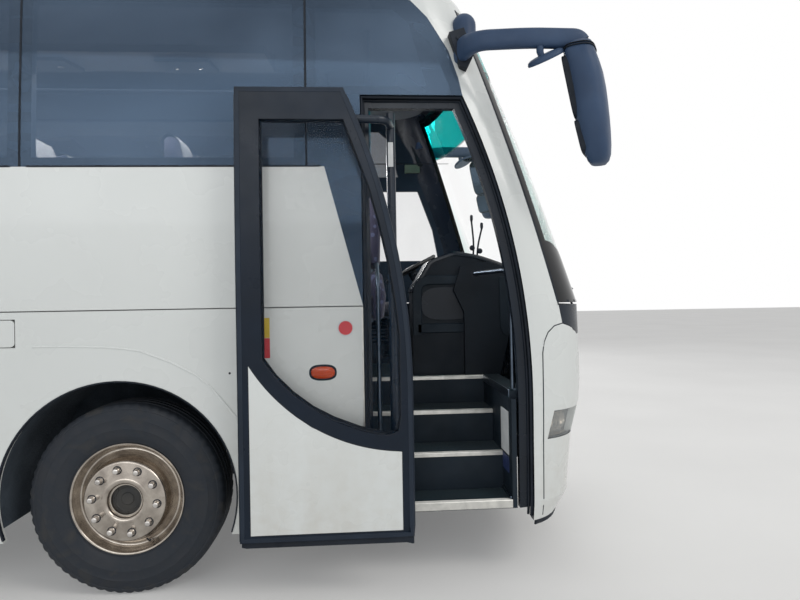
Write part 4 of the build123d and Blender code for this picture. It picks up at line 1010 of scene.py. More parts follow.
piece("doorway_seal", merged(tube(jamb_loop(0.009, 0.017), 0.0085, 10), tube(jamb_loop(0.020, 0.040), 0.0075, 8)),
      RUBBER)
post = [(x, -1.2765, z) for x, z in ((4.7065, 0.860), (4.7145, 0.860), (4.7145, 1.506), (4.7065, 1.506))]
piece("doorway_rear_strip", prism(post, (0, 0.004, 0)), ALUMINIUM, bevel=0.001)


# Seams, edges and lip of the front

BUMPER_SEAM = [(5.687, 0.340), (5.687, 1.240), (5.696, 1.300), (5.720, 1.350), (5.760, 1.385), (5.815, 1.398),
               (5.870, 1.380), (5.935, 1.333)]
SCREEN_LOW_Z, SCREEN_TOP_Z = 1.500, 3.180


def screen_edge(z):
    """X of the windshield's side edge at a height: an arc through three points, as a parabola."""
    low, middle, top = (5.790, 1.500), (5.547, 2.352), (5.266, 3.180)
    slope = (top[0] - low[0]) / (top[1] - low[1])
    bow = middle[0] - low[0] - slope * (middle[1] - low[1])
    share = (z - low[1]) * (top[1] - z) / ((middle[1] - low[1]) * (top[1] - middle[1]))
    return low[0] + slope * (z - low[1]) + bow * share


def around_front(z, rear_x, steps=60):
    """Points and normals of the skin round the front at one height, from right to left."""
    hits = []
    for step in range(steps + 1):
        angle = math.radians(-118 + 236 * step / steps)
        way = Vector((math.cos(angle), math.sin(angle), 0))
        centre = Vector((5.35, 0, z))
        place, normal, _, _ = SURFACE.ray_cast(centre + way * FAR, -way)
        if place and place.x >= rear_x and (place - centre).dot(way) > 0:
            hits.append((place, normal))
    return hits


def front_strip(z, rear_x, width, rise):
    hits = around_front(z, rear_x)
    return ribbon([hit[0] for hit in hits], [hit[1] for hit in hits], width, rise)


seams = [side_strip(BUMPER_SEAM, side, 0.0075, 0.0006) for side in (LEFT, RIGHT)]
seams.append(front_strip(1.333, 5.935, 0.0075, 0.0006))
piece("bumper_seams", merged(*seams), RUBBER)
edges = [side_strip([(screen_edge(z), z) for z in [1.5 + 0.07 * step for step in range(25)]], side, 0.016, 0.0016)
         for side in (LEFT, RIGHT)]
edges += [front_strip(SCREEN_TOP_Z - 0.003, 5.262, 0.016, 0.0016), front_strip(1.520, 5.780, 0.016, 0.0016)]
piece("windshield_gasket", merged(*edges), RUBBER)


def lip_shape():
    """The black rubber lip that hangs below the bumper and the mask."""
    hits = around_front(0.345, 5.632, 90)
    rings = []
    for place, normal in hits:
        inward = -Vector((normal.x, normal.y, 0)).normalized()
        rings.append([place + inward * depth + Vector((0, 0, z - place.z)) for depth, z in (
            (0.030, 0.348), (0.010, 0.340), (0.008, 0.330), (0.016, 0.300), (0.026, 0.286), (0.034, 0.286), (0.030, 0.320))])
    count = len(rings[0])
    points = [point for ring in rings for point in ring]
    faces = [tuple(range(count - 1, -1, -1)), tuple(range(len(points) - count, len(points)))]
    for ring in range(len(rings) - 1):
        for side in range(count):
            after = (side + 1) % count
            faces.append((ring * count + side, ring * count + after, (ring + 1) * count + after, (ring + 1) * count + side))
    return points, faces


piece("bumper_lip", lip_shape(), RUBBER)

# Wheel arches: a black rubber edge, and the pressed crease ahead of and above the front ones
ARCH_Z, ARCH_R = 0.531, 0.612
CREASE = [(3.013, 1.330), (3.180, 1.328), (3.352, 1.322), (3.460, 1.312), (3.553, 1.297), (3.705, 1.236), (3.837, 1.165),
          (3.910, 1.100), (3.968, 1.031), (4.039, 0.940)]


def arch_edge(x, side):
    start = math.asin((0.335 - ARCH_Z) / ARCH_R)
    path, normals = [], []
    for step in range(49):
        angle = start + (math.pi - 2 * start) * step / 48
        path.append(Vector((x + ARCH_R * math.cos(angle) * 0.9985, side * (SIDE_Y - 0.008), ARCH_Z + ARCH_R * math.sin(angle) * 0.9985)))
        normals.append(Vector((-math.cos(angle), 0, -math.sin(angle))))
    return ribbon(path, normals, 0.022, 0.006)


arch_edges, creases = [], []
for side in (LEFT, RIGHT):
    arch_edges += [arch_edge(FRONT_AXLE_X - 0.020, side), arch_edge(REAR_AXLE_X, side)]
    creases.append(side_strip(CREASE, side, 0.014, 0.0022))
piece("arch_edges", merged(*arch_edges), RUBBER)
piece("arch_creases", merged(*creases), WHITE, crease=80)

# Lamps, labels and the blank sticker on the side, all without words


def pill(centre, half_x, half_z, depth, side, power=2.6, rings=3):
    """A domed lens on the body's side."""
    count = 36
    points, faces = [], []
    for ring in range(rings + 1):
        share = ring / rings
        size = math.cos(share * math.pi / 2 * 0.82)
        rise = depth * math.sin(share * math.pi / 2 * 0.82) if ring else -0.002
        for step in range(count):
            angle = 2 * math.pi * step / count
            c, s = math.cos(angle), math.sin(angle)
            across = math.copysign(abs(c) ** (2 / power), c) * half_x * size
            up = math.copysign(abs(s) ** (2 / power), s) * half_z * size
            points.append(Vector((centre[0] + across, side * (centre[1] + rise), centre[2] + up)))
    for ring in range(rings):
        for step in range(count):
            after = (step + 1) % count
            faces.append((ring * count + step, ring * count + after, (ring + 1) * count + after, (ring + 1) * count + step))
    faces.append(tuple(range(rings * count, rings * count + count)))
    faces.append(tuple(range(count - 1, -1, -1)))
    return points, faces


markers, bezels = [], []
for side in (LEFT, RIGHT):
    for x, z in ((4.497, 1.162), (0.983, 0.400), (-4.550, 0.640), (-1.200, 0.400)):
        if (side, x) == (RIGHT, 0.983) or x == 4.497 or x < 0.98:
            markers.append(pill((x, SIDE_Y, z), 0.066, 0.034, 0.014, side))
            bezels.append(pill((x, SIDE_Y - 0.001, z), 0.078, 0.046, 0.006, side))
piece("side_markers", merged(*markers), LAMP_AMBER)
piece("side_marker_bezels", merged(*bezels), STEP_GREY)
disc = (4.620, -SIDE_Y, 1.396)
piece("blank_sticker_ring", lathe([(0.0, 0.0), (0.045, 0.0), (0.045, 0.0008), (0.0, 0.0008)], disc, (0, -1, 0), 48),
      PAPER)
piece("blank_sticker_red", lathe([(0.0, 0.0), (0.037, 0.0), (0.037, 0.0012), (0.0, 0.0012)], disc, (0, -1, 0), 48),
      CARD_RED)
label = [(4.177, 1.245), (4.221, 1.245), (4.221, 1.457), (4.177, 1.457)]
piece("blank_label_yellow", prism([(x, -SIDE_Y - 0.0008, max(z, 1.352)) for x, z in label], (0, 0.0010, 0)), CARD_YELLOW)
piece("blank_label_red", prism([(x, -SIDE_Y - 0.0008, min(z, 1.350)) for x, z in label], (0, 0.0010, 0)), CARD_RED)
piece("flap_screw", lathe([(0.0, 0.0015), (0.006, 0.0010), (0.0065, -0.001), (0.0, -0.001)], (4.010, -SIDE_Y, 1.170),
                          (0, -1, 0), 16), RUBBER)


# Headlamps: a bright bowl with three reflectors behind each lens

def lamp_bowl(side):
    bowl, rings = [], []
    hits = [hit for hit in around_front(0.842, 5.70, 120) if hit[0].y * side > 1.066 and hit[0].x < 5.99]
    rows = []
    for place, normal in hits:
        inward = -Vector((normal.x, normal.y, 0)).normalized()
        rows.append([place + inward * depth + Vector((0, 0, z - place.z)) for depth, z in (
            (0.042, 0.770), (0.070, 0.782), (0.092, 0.820), (0.096, 0.842), (0.092, 0.866), (0.070, 0.902), (0.042, 0.915))])
    count = len(rows[0])
    points = [point for row in rows for point in row]
    faces = [(row * count + step, row * count + step + 1, (row + 1) * count + step + 1, (row + 1) * count + step)
             for row in range(len(rows) - 1) for step in range(count - 1)]
    bowl.append((points, faces))
    for share in (0.22, 0.55, 0.86):
        place, normal = hits[int(share * (len(hits) - 1))]
        flat = Vector((normal.x, normal.y, 0)).normalized()
        seat = place - flat * 0.086
        rings.append(lathe([(0.046, 0.036), (0.050, 0.036), (0.050, -0.002), (0.0, -0.002), (0.0, 0.003), (0.014, 0.004),
                            (0.030, 0.012), (0.042, 0.026)], seat, flat, 32))
        rings.append(lathe([(0.0, 0.018), (0.008, 0.014), (0.010, 0.0), (0.0, 0.0)], seat, flat, 16))
    return bowl, rings


bowls, reflectors, lips = [], [], []
for side in (LEFT, RIGHT):
    bowl, rings = lamp_bowl(side)
    bowls += bowl
    reflectors += rings
    hits = [hit for hit in around_front(0.768, 5.70, 120) if hit[0].y * side > 1.062 and hit[0].x < 5.99]
    lips.append(ribbon([hit[0] - hit[1] * 0.004 for hit in hits], [hit[1] for hit in hits], 0.010, 0.004))
piece("headlamp_bowls", merged(*bowls), LAMP_SILVER, crease=80)
piece("headlamp_reflectors", merged(*reflectors), LAMP_SILVER)
piece("headlamp_lips", merged(*lips), RUBBER)


# Mirrors: hinge block, arm, head with two panes, kerb mirror and pivot dome

def super_loop(centre, along, up, half_along, half_up, power, count=32):
    """A rounded rectangle: an ellipse whose corners fill out with its power."""
    points = []
    for step in range(count):
        angle = 2 * math.pi * step / count
        c, s = math.cos(angle), math.sin(angle)
        points.append(Vector(centre) + Vector(along) * (math.copysign(abs(c) ** (2 / power), c) * half_along)
                      + Vector(up) * (math.copysign(abs(s) ** (2 / power), s) * half_up))
    return points


def skin(rings, cap=True, loop=False):
    """Faces between rings of equal length."""
    count = len(rings[0])
    points = [point for ring in rings for point in ring]
    faces = []
    for ring in range(len(rings) if loop else len(rings) - 1):
        start, after = ring * count, ((ring + 1) % len(rings)) * count
        faces += [(start + side, start + (side + 1) % count, after + (side + 1) % count, after + side)
                  for side in range(count)]
    if cap and not loop:
        faces += [tuple(range(count - 1, -1, -1)), tuple(range(len(points) - count, len(points)))]
    return points, faces


# Columns: z, middle x, half depth, half width
MIRROR_HEAD = [
    (2.862, 5.866, 0.034, 0.045), (2.852, 5.862, 0.057, 0.068), (2.830, 5.858, 0.071, 0.088),
    (2.800, 5.857, 0.079, 0.100), (2.750, 5.869, 0.085, 0.110), (2.700, 5.882, 0.0875, 0.115),
    (2.620, 5.898, 0.0865, 0.116), (2.540, 5.910, 0.084, 0.1155), (2.470, 5.921, 0.080, 0.114),
    (2.400, 5.930, 0.076, 0.112), (2.330, 5.940, 0.069, 0.104), (2.280, 5.945, 0.062, 0.094),
    (2.248, 5.946, 0.052, 0.080), (2.230, 5.945, 0.038, 0.060), (2.225, 5.945, 0.018, 0.032),
]
MIRROR_Y = 1.440
EAST, NORTH, UP = Vector((1, 0, 0)), Vector((0, 1, 0)), Vector((0, 0, 1))
MIRROR_TURN = math.radians(-30)
HEAD_DEEP = Vector((math.cos(MIRROR_TURN), math.sin(MIRROR_TURN), 0))
HEAD_WIDE = Vector((-math.sin(MIRROR_TURN), math.cos(MIRROR_TURN), 0))
# Each mirror as if on the right. Columns: side, arm, forward shift and lift of its head
MIRRORS = [
    (RIGHT, [(5.262, -1.215, 2.895), (5.320, -1.385, 2.886), (5.600, -1.428, 2.884), (5.858, -1.433, 2.880),
             (5.878, -1.435, 2.800)], Vector((0, 0, 0))),
    (LEFT, [(5.262, -1.215, 2.895), (5.330, -1.385, 2.960), (5.500, -1.428, 2.999), (5.924, -1.433, 2.995),
            (5.944, -1.435, 2.915)], Vector((0.066, 0, 0.115))),
]


def mirror_head():
    return [super_loop((x, -MIRROR_Y, z), HEAD_DEEP, HEAD_WIDE, deep, wide, 2.7, 40) for z, x, deep, wide in MIRROR_HEAD]


def head_back(z):
    """The middle of the head's rear face at a height, between the rows of its table."""
    for high, low in zip(MIRROR_HEAD, MIRROR_HEAD[1:]):
        if low[0] <= z <= high[0]:
            share = (z - low[0]) / (high[0] - low[0])
            x, deep = (low[column] + share * (high[column] - low[column]) for column in (1, 2))
            return Vector((x, -MIRROR_Y, z)) - HEAD_DEEP * deep
    return None


def mirror_arm(arm):
    path = rounded(arm, 0.085, 8)
    rings = []
    for index, place in enumerate(path):
        tangent = (path[min(index + 1, len(path) - 1)] - path[max(index - 1, 0)]).normalized()
        across = tangent.cross(UP).normalized() if abs(tangent.z) < 0.9 else NORTH
        over = across.cross(tangent).normalized()
        flare = 1.0 + 0.28 * max(0.0, 1 - index / 7) ** 2
        rings.append(super_loop(place, across, over, 0.032, 0.0515 * flare, 2.8, 28))
    return skin(rings)


def mirror_pane(low_z, high_z, half_width, rise):
    """A mirror pane on the rear of the head, which leans with it."""
    low, high = head_back(low_z), head_back(high_z)
    up = (high - low).normalized()
    outward = -HEAD_WIDE.cross(up).normalized()
    if outward.dot(HEAD_DEEP) > 0:
        outward = -outward
    centre = (low + high) / 2
    half_up = (high - low).length / 2
    frame = [super_loop(centre + outward * depth, HEAD_WIDE, up, half_width + grow, half_up + grow, 5, 40)
             for depth, grow in ((-0.030, 0.010), (rise, 0.010), (rise + 0.002, 0.006), (rise + 0.001, 0.001))]
    pane = [super_loop(centre + outward * depth, HEAD_WIDE, up, half_width, half_up, 5, 40)
            for depth in (rise - 0.004, rise + 0.0015)]
    return skin(frame), skin(pane)


KERB_PLACE = Vector((5.678, -1.430, 2.787))
KERB_WAY = Vector((0.42, 0.30, -0.857)).normalized()


def kerb_mirror():
    """A round convex mirror in a shell, on a stub below the arm."""
    long_way = Vector((0.898, 0, 0.44)).normalized()
    short_way = KERB_WAY.cross(long_way).normalized()
    rows = [(-0.0155, 0.30), (-0.0150, 0.55), (-0.0115, 0.80), (-0.004, 0.95), (0.006, 1.0), (0.0135, 1.0), (0.0155, 0.985),
            (0.0145, 0.955)]
    shell = skin([super_loop(KERB_PLACE + KERB_WAY * depth, long_way, short_way, 0.101 * size, 0.077 * size, 2, 40)
                  for depth, size in rows])
    face = skin([super_loop(KERB_PLACE + KERB_WAY * depth, long_way, short_way, 0.096 * size, 0.072 * size, 2, 40)
                 for depth, size in ((0.0120, 1.0), (0.0152, 1.0), (0.0158, 0.5))])
    stub = tube([(5.650, -1.430, 2.850), (5.650, -1.430, 2.812), (5.658, -1.428, 2.790)], [0.020, 0.0185, 0.016], 18)
    return merged(shell, stub), face


hinge = [(5.203, 2.985), (5.285, 3.012), (5.338, 2.865), (5.300, 2.788), (5.262, 2.800)]
hinge_block = prism([(x, -1.140, z) for x, z in hinge], (0, -0.122, 0))
hinge_pins = merged(*[lathe([(0.0, 0.006), (0.012, 0.006), (0.014, 0.0), (0.0, 0.0)], (x, -1.262, z), (0, -1, 0), 6)
                      for x, z in ((5.252, 2.955), (5.290, 2.850))])
dome = lathe([(0.0, 0.066), (0.018, 0.0635), (0.034, 0.0565), (0.048, 0.0450), (0.058, 0.0310), (0.0645, 0.0140),
              (0.066, 0.0), (0.066, -0.117), (0.0, -0.117)], (5.305, -1.150, 3.068), UP, 40)
ribs = merged(*[skin([super_loop((5.857, -MIRROR_Y, z), HEAD_DEEP, HEAD_WIDE, deep, wide, 2.7, 40) for z in heights])
                for deep, wide, heights in ((0.0815, 0.1025, (2.812, 2.818)), (0.0775, 0.097, (2.826, 2.831)))])
kerb_shell, kerb_face = kerb_mirror()
frames, panes = zip(mirror_pane(2.470, 2.775, 0.088, 0.0035), mirror_pane(2.290, 2.445, 0.078, 0.0065))
shells, hinges, glasses = [], [], []
for side, arm, shift in MIRRORS:
    parts = ((shells, merged(moved(merged(skin(mirror_head()), kerb_shell), shift), mirror_arm(arm), dome)),
             (hinges, merged(moved(merged(ribs, *frames), shift), hinge_block, hinge_pins)),
             (glasses, moved(merged(kerb_face, *panes), shift)))
    for group, shape in parts:
        group.append(shape if side == RIGHT else mirrored(shape))
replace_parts(piece("mirror_shells", merged(*shells), MIRROR_GREY, crease=45), "mirrors")
piece("mirror_hinges", merged(*hinges), RUBBER, bevel=0.003)
piece("mirror_panes", merged(*glasses), MIRROR_FACE)


# Wipers: a splined foot, a sprung arm and a blade on the windshield

def on_screen(y, z, lift):
    place, normal = on_end(y, z, 1)
    return place + normal * lift, normal


def wiper(side, foot_y, foot_z, tip_y, tip_z, blade):
    """One wiper; blade is the run of its rubber as y and z at both ends."""
    foot, normal = on_screen(foot_y, foot_z, 0.002)
    path = [foot]
    for step in range(1, 9):
        share = step / 8
        lift = 0.004 + 0.028 * min(1.0, share * 1.1) ** 1.5
        place, _ = on_screen(foot_y + (tip_y - foot_y) * share, foot_z + (tip_z - foot_z) * share, lift)
        path.append(place)
    arm = tube(path, [0.005, 0.006, 0.007, 0.008, 0.0085, 0.008, 0.007, 0.006, 0.006], 8)
    hub = lathe([(0.0, 0.006), (0.016, 0.005), (0.024, 0.001), (0.028, -0.004), (0.028, -0.020), (0.0, -0.020)],
                foot, normal, 24)
    rubber, carrier = [], []
    for step in range(25):
        share = step / 24
        place, way = on_screen(blade[0][0] + (blade[1][0] - blade[0][0]) * share,
                               blade[0][1] + (blade[1][1] - blade[0][1]) * share, 0.0)
        rubber.append((place, way))
        carrier.append(place + way * 0.020)
    squeegee = ribbon([hit[0] for hit in rubber], [hit[1] for hit in rubber], 0.007, 0.016, 0.0)
    return merged(arm, hub, squeegee, tube(carrier, [0.003] + [0.0065] * 23 + [0.003], 8))


wipers = [wiper(RIGHT, -0.930, 1.440, -0.420, 1.640, ((-0.900, 1.585), (-0.020, 1.660))),
          wiper(LEFT, 0.080, 1.440, 0.520, 1.640, ((0.060, 1.640), (0.900, 1.590)))]
piece("wipers", merged(*wipers), RUBBER)


# Passenger seats: a shaped cushion and back in each place, head covers, armrests and legs

SEAT_ROWS, SEAT_PITCH, FIRST_SEAT_X, SEAT_INNER_Y, SEAT_WIDTH = 12, 0.790, 3.720, 0.290, 0.425
DECK_Z = 1.400


def seat_cushion(hip, y):
    """One seat cushion: low bolsters at the sides and a rounded front."""
    rings = []
    # Columns: x from the hip point, middle z, half height
    rows = [(0.015, 1.790, 0.030), (0.030, 1.800, 0.055), (0.090, 1.808, 0.066), (0.200, 1.812, 0.068),
            (0.320, 1.818, 0.066), (0.410, 1.820, 0.060), (0.455, 1.815, 0.048), (0.474, 1.805, 0.026)]
    for x, z, half in rows:
        ring = []
        for step in range(28):
            angle = 2 * math.pi * step / 28
            c, s = math.cos(angle), math.sin(angle)
            across = math.copysign(abs(c) ** 0.55, c) * (SEAT_WIDTH / 2 - 0.008)
            hollow = 0.014 * (abs(across) / (SEAT_WIDTH / 2)) ** 2 if s > 0 else 0.0
            up = math.copysign(abs(s) ** 0.6, s) * half + hollow - 0.008
            ring.append(Vector((hip + x, y + across, z + up)))
        rings.append(ring)
    return skin(rings)


def seat_back(hip, y):
    """One seat back: it leans, with side bolsters, a waist and a rounded head."""
    rings = []
    # Columns: share of the height, half width, half thickness, forward swell
    rows = [(0.00, 0.190, 0.030, 0.0), (0.03, 0.204, 0.050, 0.004), (0.12, 0.207, 0.058, 0.008),
            (0.28, 0.207, 0.060, 0.012), (0.46, 0.205, 0.055, 0.004), (0.62, 0.200, 0.050, 0.0),
            (0.76, 0.190, 0.048, 0.004), (0.87, 0.172, 0.047, 0.010), (0.95, 0.140, 0.040, 0.008),
            (0.985, 0.100, 0.026, 0.004), (1.0, 0.055, 0.010, 0.0)]
    low, high = Vector((hip + 0.062, y, 1.835)), Vector((hip - 0.085, y, 2.488))
    up = (high - low).normalized()
    ahead = NORTH.cross(up)
    for share, half_width, half_thick, swell in rows:
        centre = low.lerp(high, share) + ahead * swell
        ring = []
        for step in range(28):
            angle = 2 * math.pi * step / 28
            c, s = math.cos(angle), math.sin(angle)
            across = math.copysign(abs(c) ** 0.5, c) * half_width
            bolster = 0.016 * (abs(across) / half_width) ** 3 if s > 0 and share < 0.7 else 0.0
            ring.append(centre + NORTH * across + ahead * (math.copysign(abs(s) ** 0.7, s) * half_thick + bolster))
        rings.append(ring)
    return skin(rings)


def head_cover(hip, y):
    """A white cloth over the top of a seat back, hanging down both faces."""
    low, high = Vector((hip + 0.062, y, 1.835)), Vector((hip - 0.085, y, 2.488))
    up = (high - low).normalized()
    ahead = NORTH.cross(up)
    rows = []
    for share, out in ((0.70, 0.0565), (0.80, 0.0565), (0.90, 0.0575), (0.965, 0.046), (0.996, 0.022), (1.006, 0.0),
                       (0.996, -0.022), (0.965, -0.042), (0.90, -0.051), (0.80, -0.052), (0.72, -0.053)):
        centre = low.lerp(high, share) + ahead * (out + 0.004)
        half = 0.118 + 0.004 * math.sin(share * 40)
        rows.append([centre + NORTH * (half * side / 5) + ahead * (0.002 * math.sin(side * 2.1 + share * 9))
                     for side in range(-5, 6)])
    count = len(rows[0])
    points = [point for row in rows for point in row]
    faces = [(row * count + side, row * count + side + 1, (row + 1) * count + side + 1, (row + 1) * count + side)
             for row in range(len(rows) - 1) for side in range(count - 1)]
    return points, faces


def seat_frame(hip, side):
    """Legs, rail and armrest of one pair."""
    inner, outer = side * SEAT_INNER_Y, side * (SEAT_INNER_Y + 2 * SEAT_WIDTH)
    low_y, high_y = min(inner, outer), max(inner, outer)
    leg_y = inner + side * 0.110
    shapes = [
        block((hip + 0.060, low_y + 0.02, 1.715), (hip + 0.120, high_y - 0.02, 1.750)),
        block((hip + 0.350, low_y + 0.02, 1.715), (hip + 0.410, high_y - 0.02, 1.750)),
        block((hip + 0.130, leg_y - 0.025, DECK_Z + 0.008), (hip + 0.330, leg_y + 0.025, 1.716)),
        block((hip + 0.080, leg_y - 0.045, DECK_Z + 0.001), (hip + 0.380, leg_y + 0.045, DECK_Z + 0.010)),
    ]
    arm_y = inner + side * 0.012
    arm = rounded([(hip + 0.040, arm_y, 1.760), (hip + 0.040, arm_y, 2.020), (hip + 0.330, arm_y, 2.030)], 0.06)
    return merged(*shapes), tube(arm, [0.013] * 6 + [0.020] * (len(arm) - 6), 10)


cushions, backs, covers, frames, arms = [], [], [], [], []
for row in range(SEAT_ROWS):
    hip = FIRST_SEAT_X - row * SEAT_PITCH
    for side in (LEFT, RIGHT):
        for place in (0, 1):
            y = side * (SEAT_INNER_Y + SEAT_WIDTH * (place + 0.5))
            cushions.append(seat_cushion(hip, y))
            backs.append(seat_back(hip, y))
            covers.append(head_cover(hip, y))
        frame_shape, arm = seat_frame(hip, side)
        frames.append(frame_shape)
        arms.append(arm)
cushion_piece = piece("seat_cushion_pads", merged(*cushions), SEAT_CLOTH, crease=60)
back_piece = piece("seat_back_pads", merged(*backs), SEAT_CLOTH, crease=60)
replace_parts(cushion_piece, "seat_cushions")
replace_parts(back_piece, "seat_backs")
piece("seat_head_covers", merged(*covers), HEAD_COVER, crease=80)
piece("seat_frames", merged(*frames), FRAME_PAINT, bevel=0.004)
piece("seat_armrests", merged(*arms), RUBBER)


# Driver's place

DRIVER_Y = 0.600


def stuffed(low, high, across, rows, power=0.5, count=28):
    """A padded shape along a line. Columns: share of the line, half width, half thickness, swell, bolster."""
    low, high = Vector(low), Vector(high)
    ahead = Vector(across).cross(high - low).normalized()
    rings = []
    for share, half_width, half_thick, swell, bolster in rows:
        centre = low.lerp(high, share) + ahead * swell
        ring = []
        for step in range(count):
            angle = 2 * math.pi * step / count
            c, s = math.cos(angle), math.sin(angle)
            wide = math.copysign(abs(c) ** power, c) * half_width
            edge = bolster * (abs(wide) / half_width) ** 3 if s > 0 else 0.0
            ring.append(centre + Vector(across) * wide + ahead * (math.copysign(abs(s) ** 0.7, s) * half_thick + edge))
        rings.append(ring)
    return skin(rings)


driver_back = stuffed((4.638, DRIVER_Y, 1.500), (4.560, DRIVER_Y, 2.020), NORTH, [
    (0.0, 0.170, 0.026, 0.0, 0.0), (0.04, 0.215, 0.046, 0.0, 0.014), (0.20, 0.234, 0.056, 0.008, 0.030),
    (0.42, 0.236, 0.058, 0.010, 0.034), (0.62, 0.228, 0.052, 0.004, 0.026), (0.80, 0.208, 0.048, 0.002, 0.014),
    (0.93, 0.170, 0.042, 0.002, 0.004), (0.985, 0.125, 0.026, 0.0, 0.0), (1.0, 0.080, 0.010, 0.0, 0.0)])
driver_head = stuffed((4.556, DRIVER_Y, 2.050), (4.536, DRIVER_Y, 2.236), NORTH, [
    (0.0, 0.070, 0.014, 0.0, 0.0), (0.08, 0.105, 0.034, 0.004, 0.0), (0.35, 0.124, 0.046, 0.008, 0.008),
    (0.70, 0.122, 0.044, 0.008, 0.008), (0.93, 0.098, 0.030, 0.002, 0.0), (1.0, 0.060, 0.010, 0.0, 0.0)])
driver_cushion = stuffed((5.008, DRIVER_Y, 1.466), (4.600, DRIVER_Y, 1.456), NORTH, [
    (0.0, 0.150, 0.020, -0.006, 0.0), (0.04, 0.205, 0.042, 0.0, 0.0), (0.16, 0.234, 0.056, 0.004, 0.010),
    (0.45, 0.240, 0.058, 0.0, 0.022), (0.75, 0.238, 0.054, -0.004, 0.026), (0.95, 0.220, 0.044, -0.004, 0.016),
    (1.0, 0.180, 0.022, 0.0, 0.0)])
driver_pads = piece("driver_seat_pads", merged(driver_back, driver_head, driver_cushion), DRIVER_CLOTH,
                    crease=60)
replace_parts(driver_pads, "driver_seat")
bellows = []
for fold in range(7):
    z = 1.190 + 0.030 * fold
    bellows += [super_loop((4.775, DRIVER_Y, z + lift), EAST, NORTH, 0.150 - inset, 0.130 - inset, 4.5, 40)
                for lift, inset in ((0.0, 0.016), (0.012, 0.0), (0.018, 0.0))]
belt = ribbon([Vector(point) for point in ((4.600, DRIVER_Y - 0.262, 2.020), (4.640, DRIVER_Y - 0.270, 1.760),
                                           (4.700, DRIVER_Y - 0.272, 1.480))], [Vector((0, -1, 0))] * 3, 0.046, 0.002)
piece("driver_seat_base", merged(
    skin(bellows),
    block((4.620, DRIVER_Y - 0.175, 1.0245), (4.930, DRIVER_Y + 0.175, 1.070)),
    block((4.660, DRIVER_Y - 0.140, 1.068), (4.890, DRIVER_Y + 0.140, 1.192)),
    block((4.600, DRIVER_Y - 0.215, 1.392), (4.960, DRIVER_Y + 0.215, 1.412)),
    block((4.545, DRIVER_Y - 0.262, 1.420), (4.660, DRIVER_Y - 0.244, 1.560)),
    block((4.545, DRIVER_Y + 0.244, 1.420), (4.660, DRIVER_Y + 0.262, 1.560)),
    tube(rounded([(4.632, DRIVER_Y + 0.275, 1.740), (4.700, DRIVER_Y + 0.280, 1.752), (4.900, DRIVER_Y + 0.280, 1.745)],
                 0.03), 0.022, 12),
    tube([(4.553, DRIVER_Y - 0.055, 1.990), (4.549, DRIVER_Y - 0.055, 2.090)], 0.007, 8),
    tube([(4.553, DRIVER_Y + 0.055, 1.990), (4.549, DRIVER_Y + 0.055, 2.090)], 0.007, 8),
    belt,
), RUBBER, bevel=0.003)

# Steering wheel: a grip with finger waves, four spokes, a soft middle, and two stalks behind it
WHEEL_TILT = math.radians(28)
WHEEL_AT = Vector((5.130, DRIVER_Y, 1.800))
WHEEL_AXIS = Vector((-math.sin(WHEEL_TILT), 0, math.cos(WHEEL_TILT)))
WHEEL_UP = WHEEL_AXIS.cross(NORTH).normalized()
if WHEEL_UP.x < 0:
    WHEEL_UP = -WHEEL_UP


def around_wheel(angle, radius, rise=0.0):
    return WHEEL_AT + (WHEEL_UP * math.cos(angle) + NORTH * math.sin(angle)) * radius + WHEEL_AXIS * rise


def grip_shape():
    rings = []
    for step in range(96):
        angle = 2 * math.pi * step / 96
        spoke = (WHEEL_UP * math.cos(angle) + NORTH * math.sin(angle))
        size = 0.0150 + 0.0008 * math.cos(angle * 24)
        rings.append([WHEEL_AT + spoke * 0.225 + (spoke * math.cos(turn) + WHEEL_AXIS * math.sin(turn)) * size
                      for turn in [2 * math.pi * side / 14 for side in range(14)]])
    return skin(rings, loop=True)


spokes = [tube([around_wheel(angle, 0.045, -0.006), around_wheel(angle, 0.130, -0.012), around_wheel(angle, 0.215)],
               [0.018, 0.013, 0.011], 12) for angle in (math.radians(70), math.radians(130), math.radians(230),
                                                        math.radians(290))]
middle = lathe([(0.0, 0.022), (0.030, 0.021), (0.055, 0.015), (0.066, 0.004), (0.066, -0.012), (0.048, -0.020), (0.0, -0.020)],
               WHEEL_AT, WHEEL_AXIS, 40)
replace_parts(piece("steering_wheel_grip", merged(grip_shape(), middle, *spokes), WHEEL_PLASTIC, "steering_wheel"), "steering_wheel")
stalks = [tube([WHEEL_AT - WHEEL_AXIS * 0.055 + NORTH * side * 0.035, WHEEL_AT - WHEEL_AXIS * 0.050 + NORTH * side * 0.17,
                WHEEL_AT - WHEEL_AXIS * 0.044 + NORTH * side * 0.205], [0.006, 0.008, 0.011], 10) for side in (LEFT, RIGHT)]
piece("column_stalks", merged(*stalks), RUBBER)

# Dashboard: moulded top, console hood with its rim, screen, dials, switches and two goosenecks
HOOD_LINE = [(5.0535, 1.592), (5.058, 1.612), (5.1685, 1.792), (5.200, 1.8125), (5.330, 1.857), (5.365, 1.8585),
             (5.512, 1.832), (5.640, 1.787), (5.783, 1.735)]
hood_path = rounded([(x, -0.275, z) for x, z in HOOD_LINE], 0.05, 4)
hood_rings = []
for index, place in enumerate(hood_path):
    tangent = (hood_path[min(index + 1, len(hood_path) - 1)] - hood_path[max(index - 1, 0)]).normalized()
    outward = tangent.cross(NORTH)
    if outward.z < 0:
        outward = -outward
    hood_rings.append([place + NORTH * across + outward * rise for across, rise in (
        (-0.1610, -0.020), (-0.1610, 0.002), (-0.1570, 0.006), (0.1570, 0.006), (0.1610, 0.002), (0.1610, -0.020))])
piece("console_hood", skin(hood_rings), HOOD_BLACK, crease=50)


def side_frame(points, y, width, depth):
    """A flat padded band on the console's side, through points of x and z."""
    path = rounded([(x, y, z) for x, z in points], 0.09, 6)
    return ribbon(path, [Vector((0, -1, 0))] * len(path), width, depth)


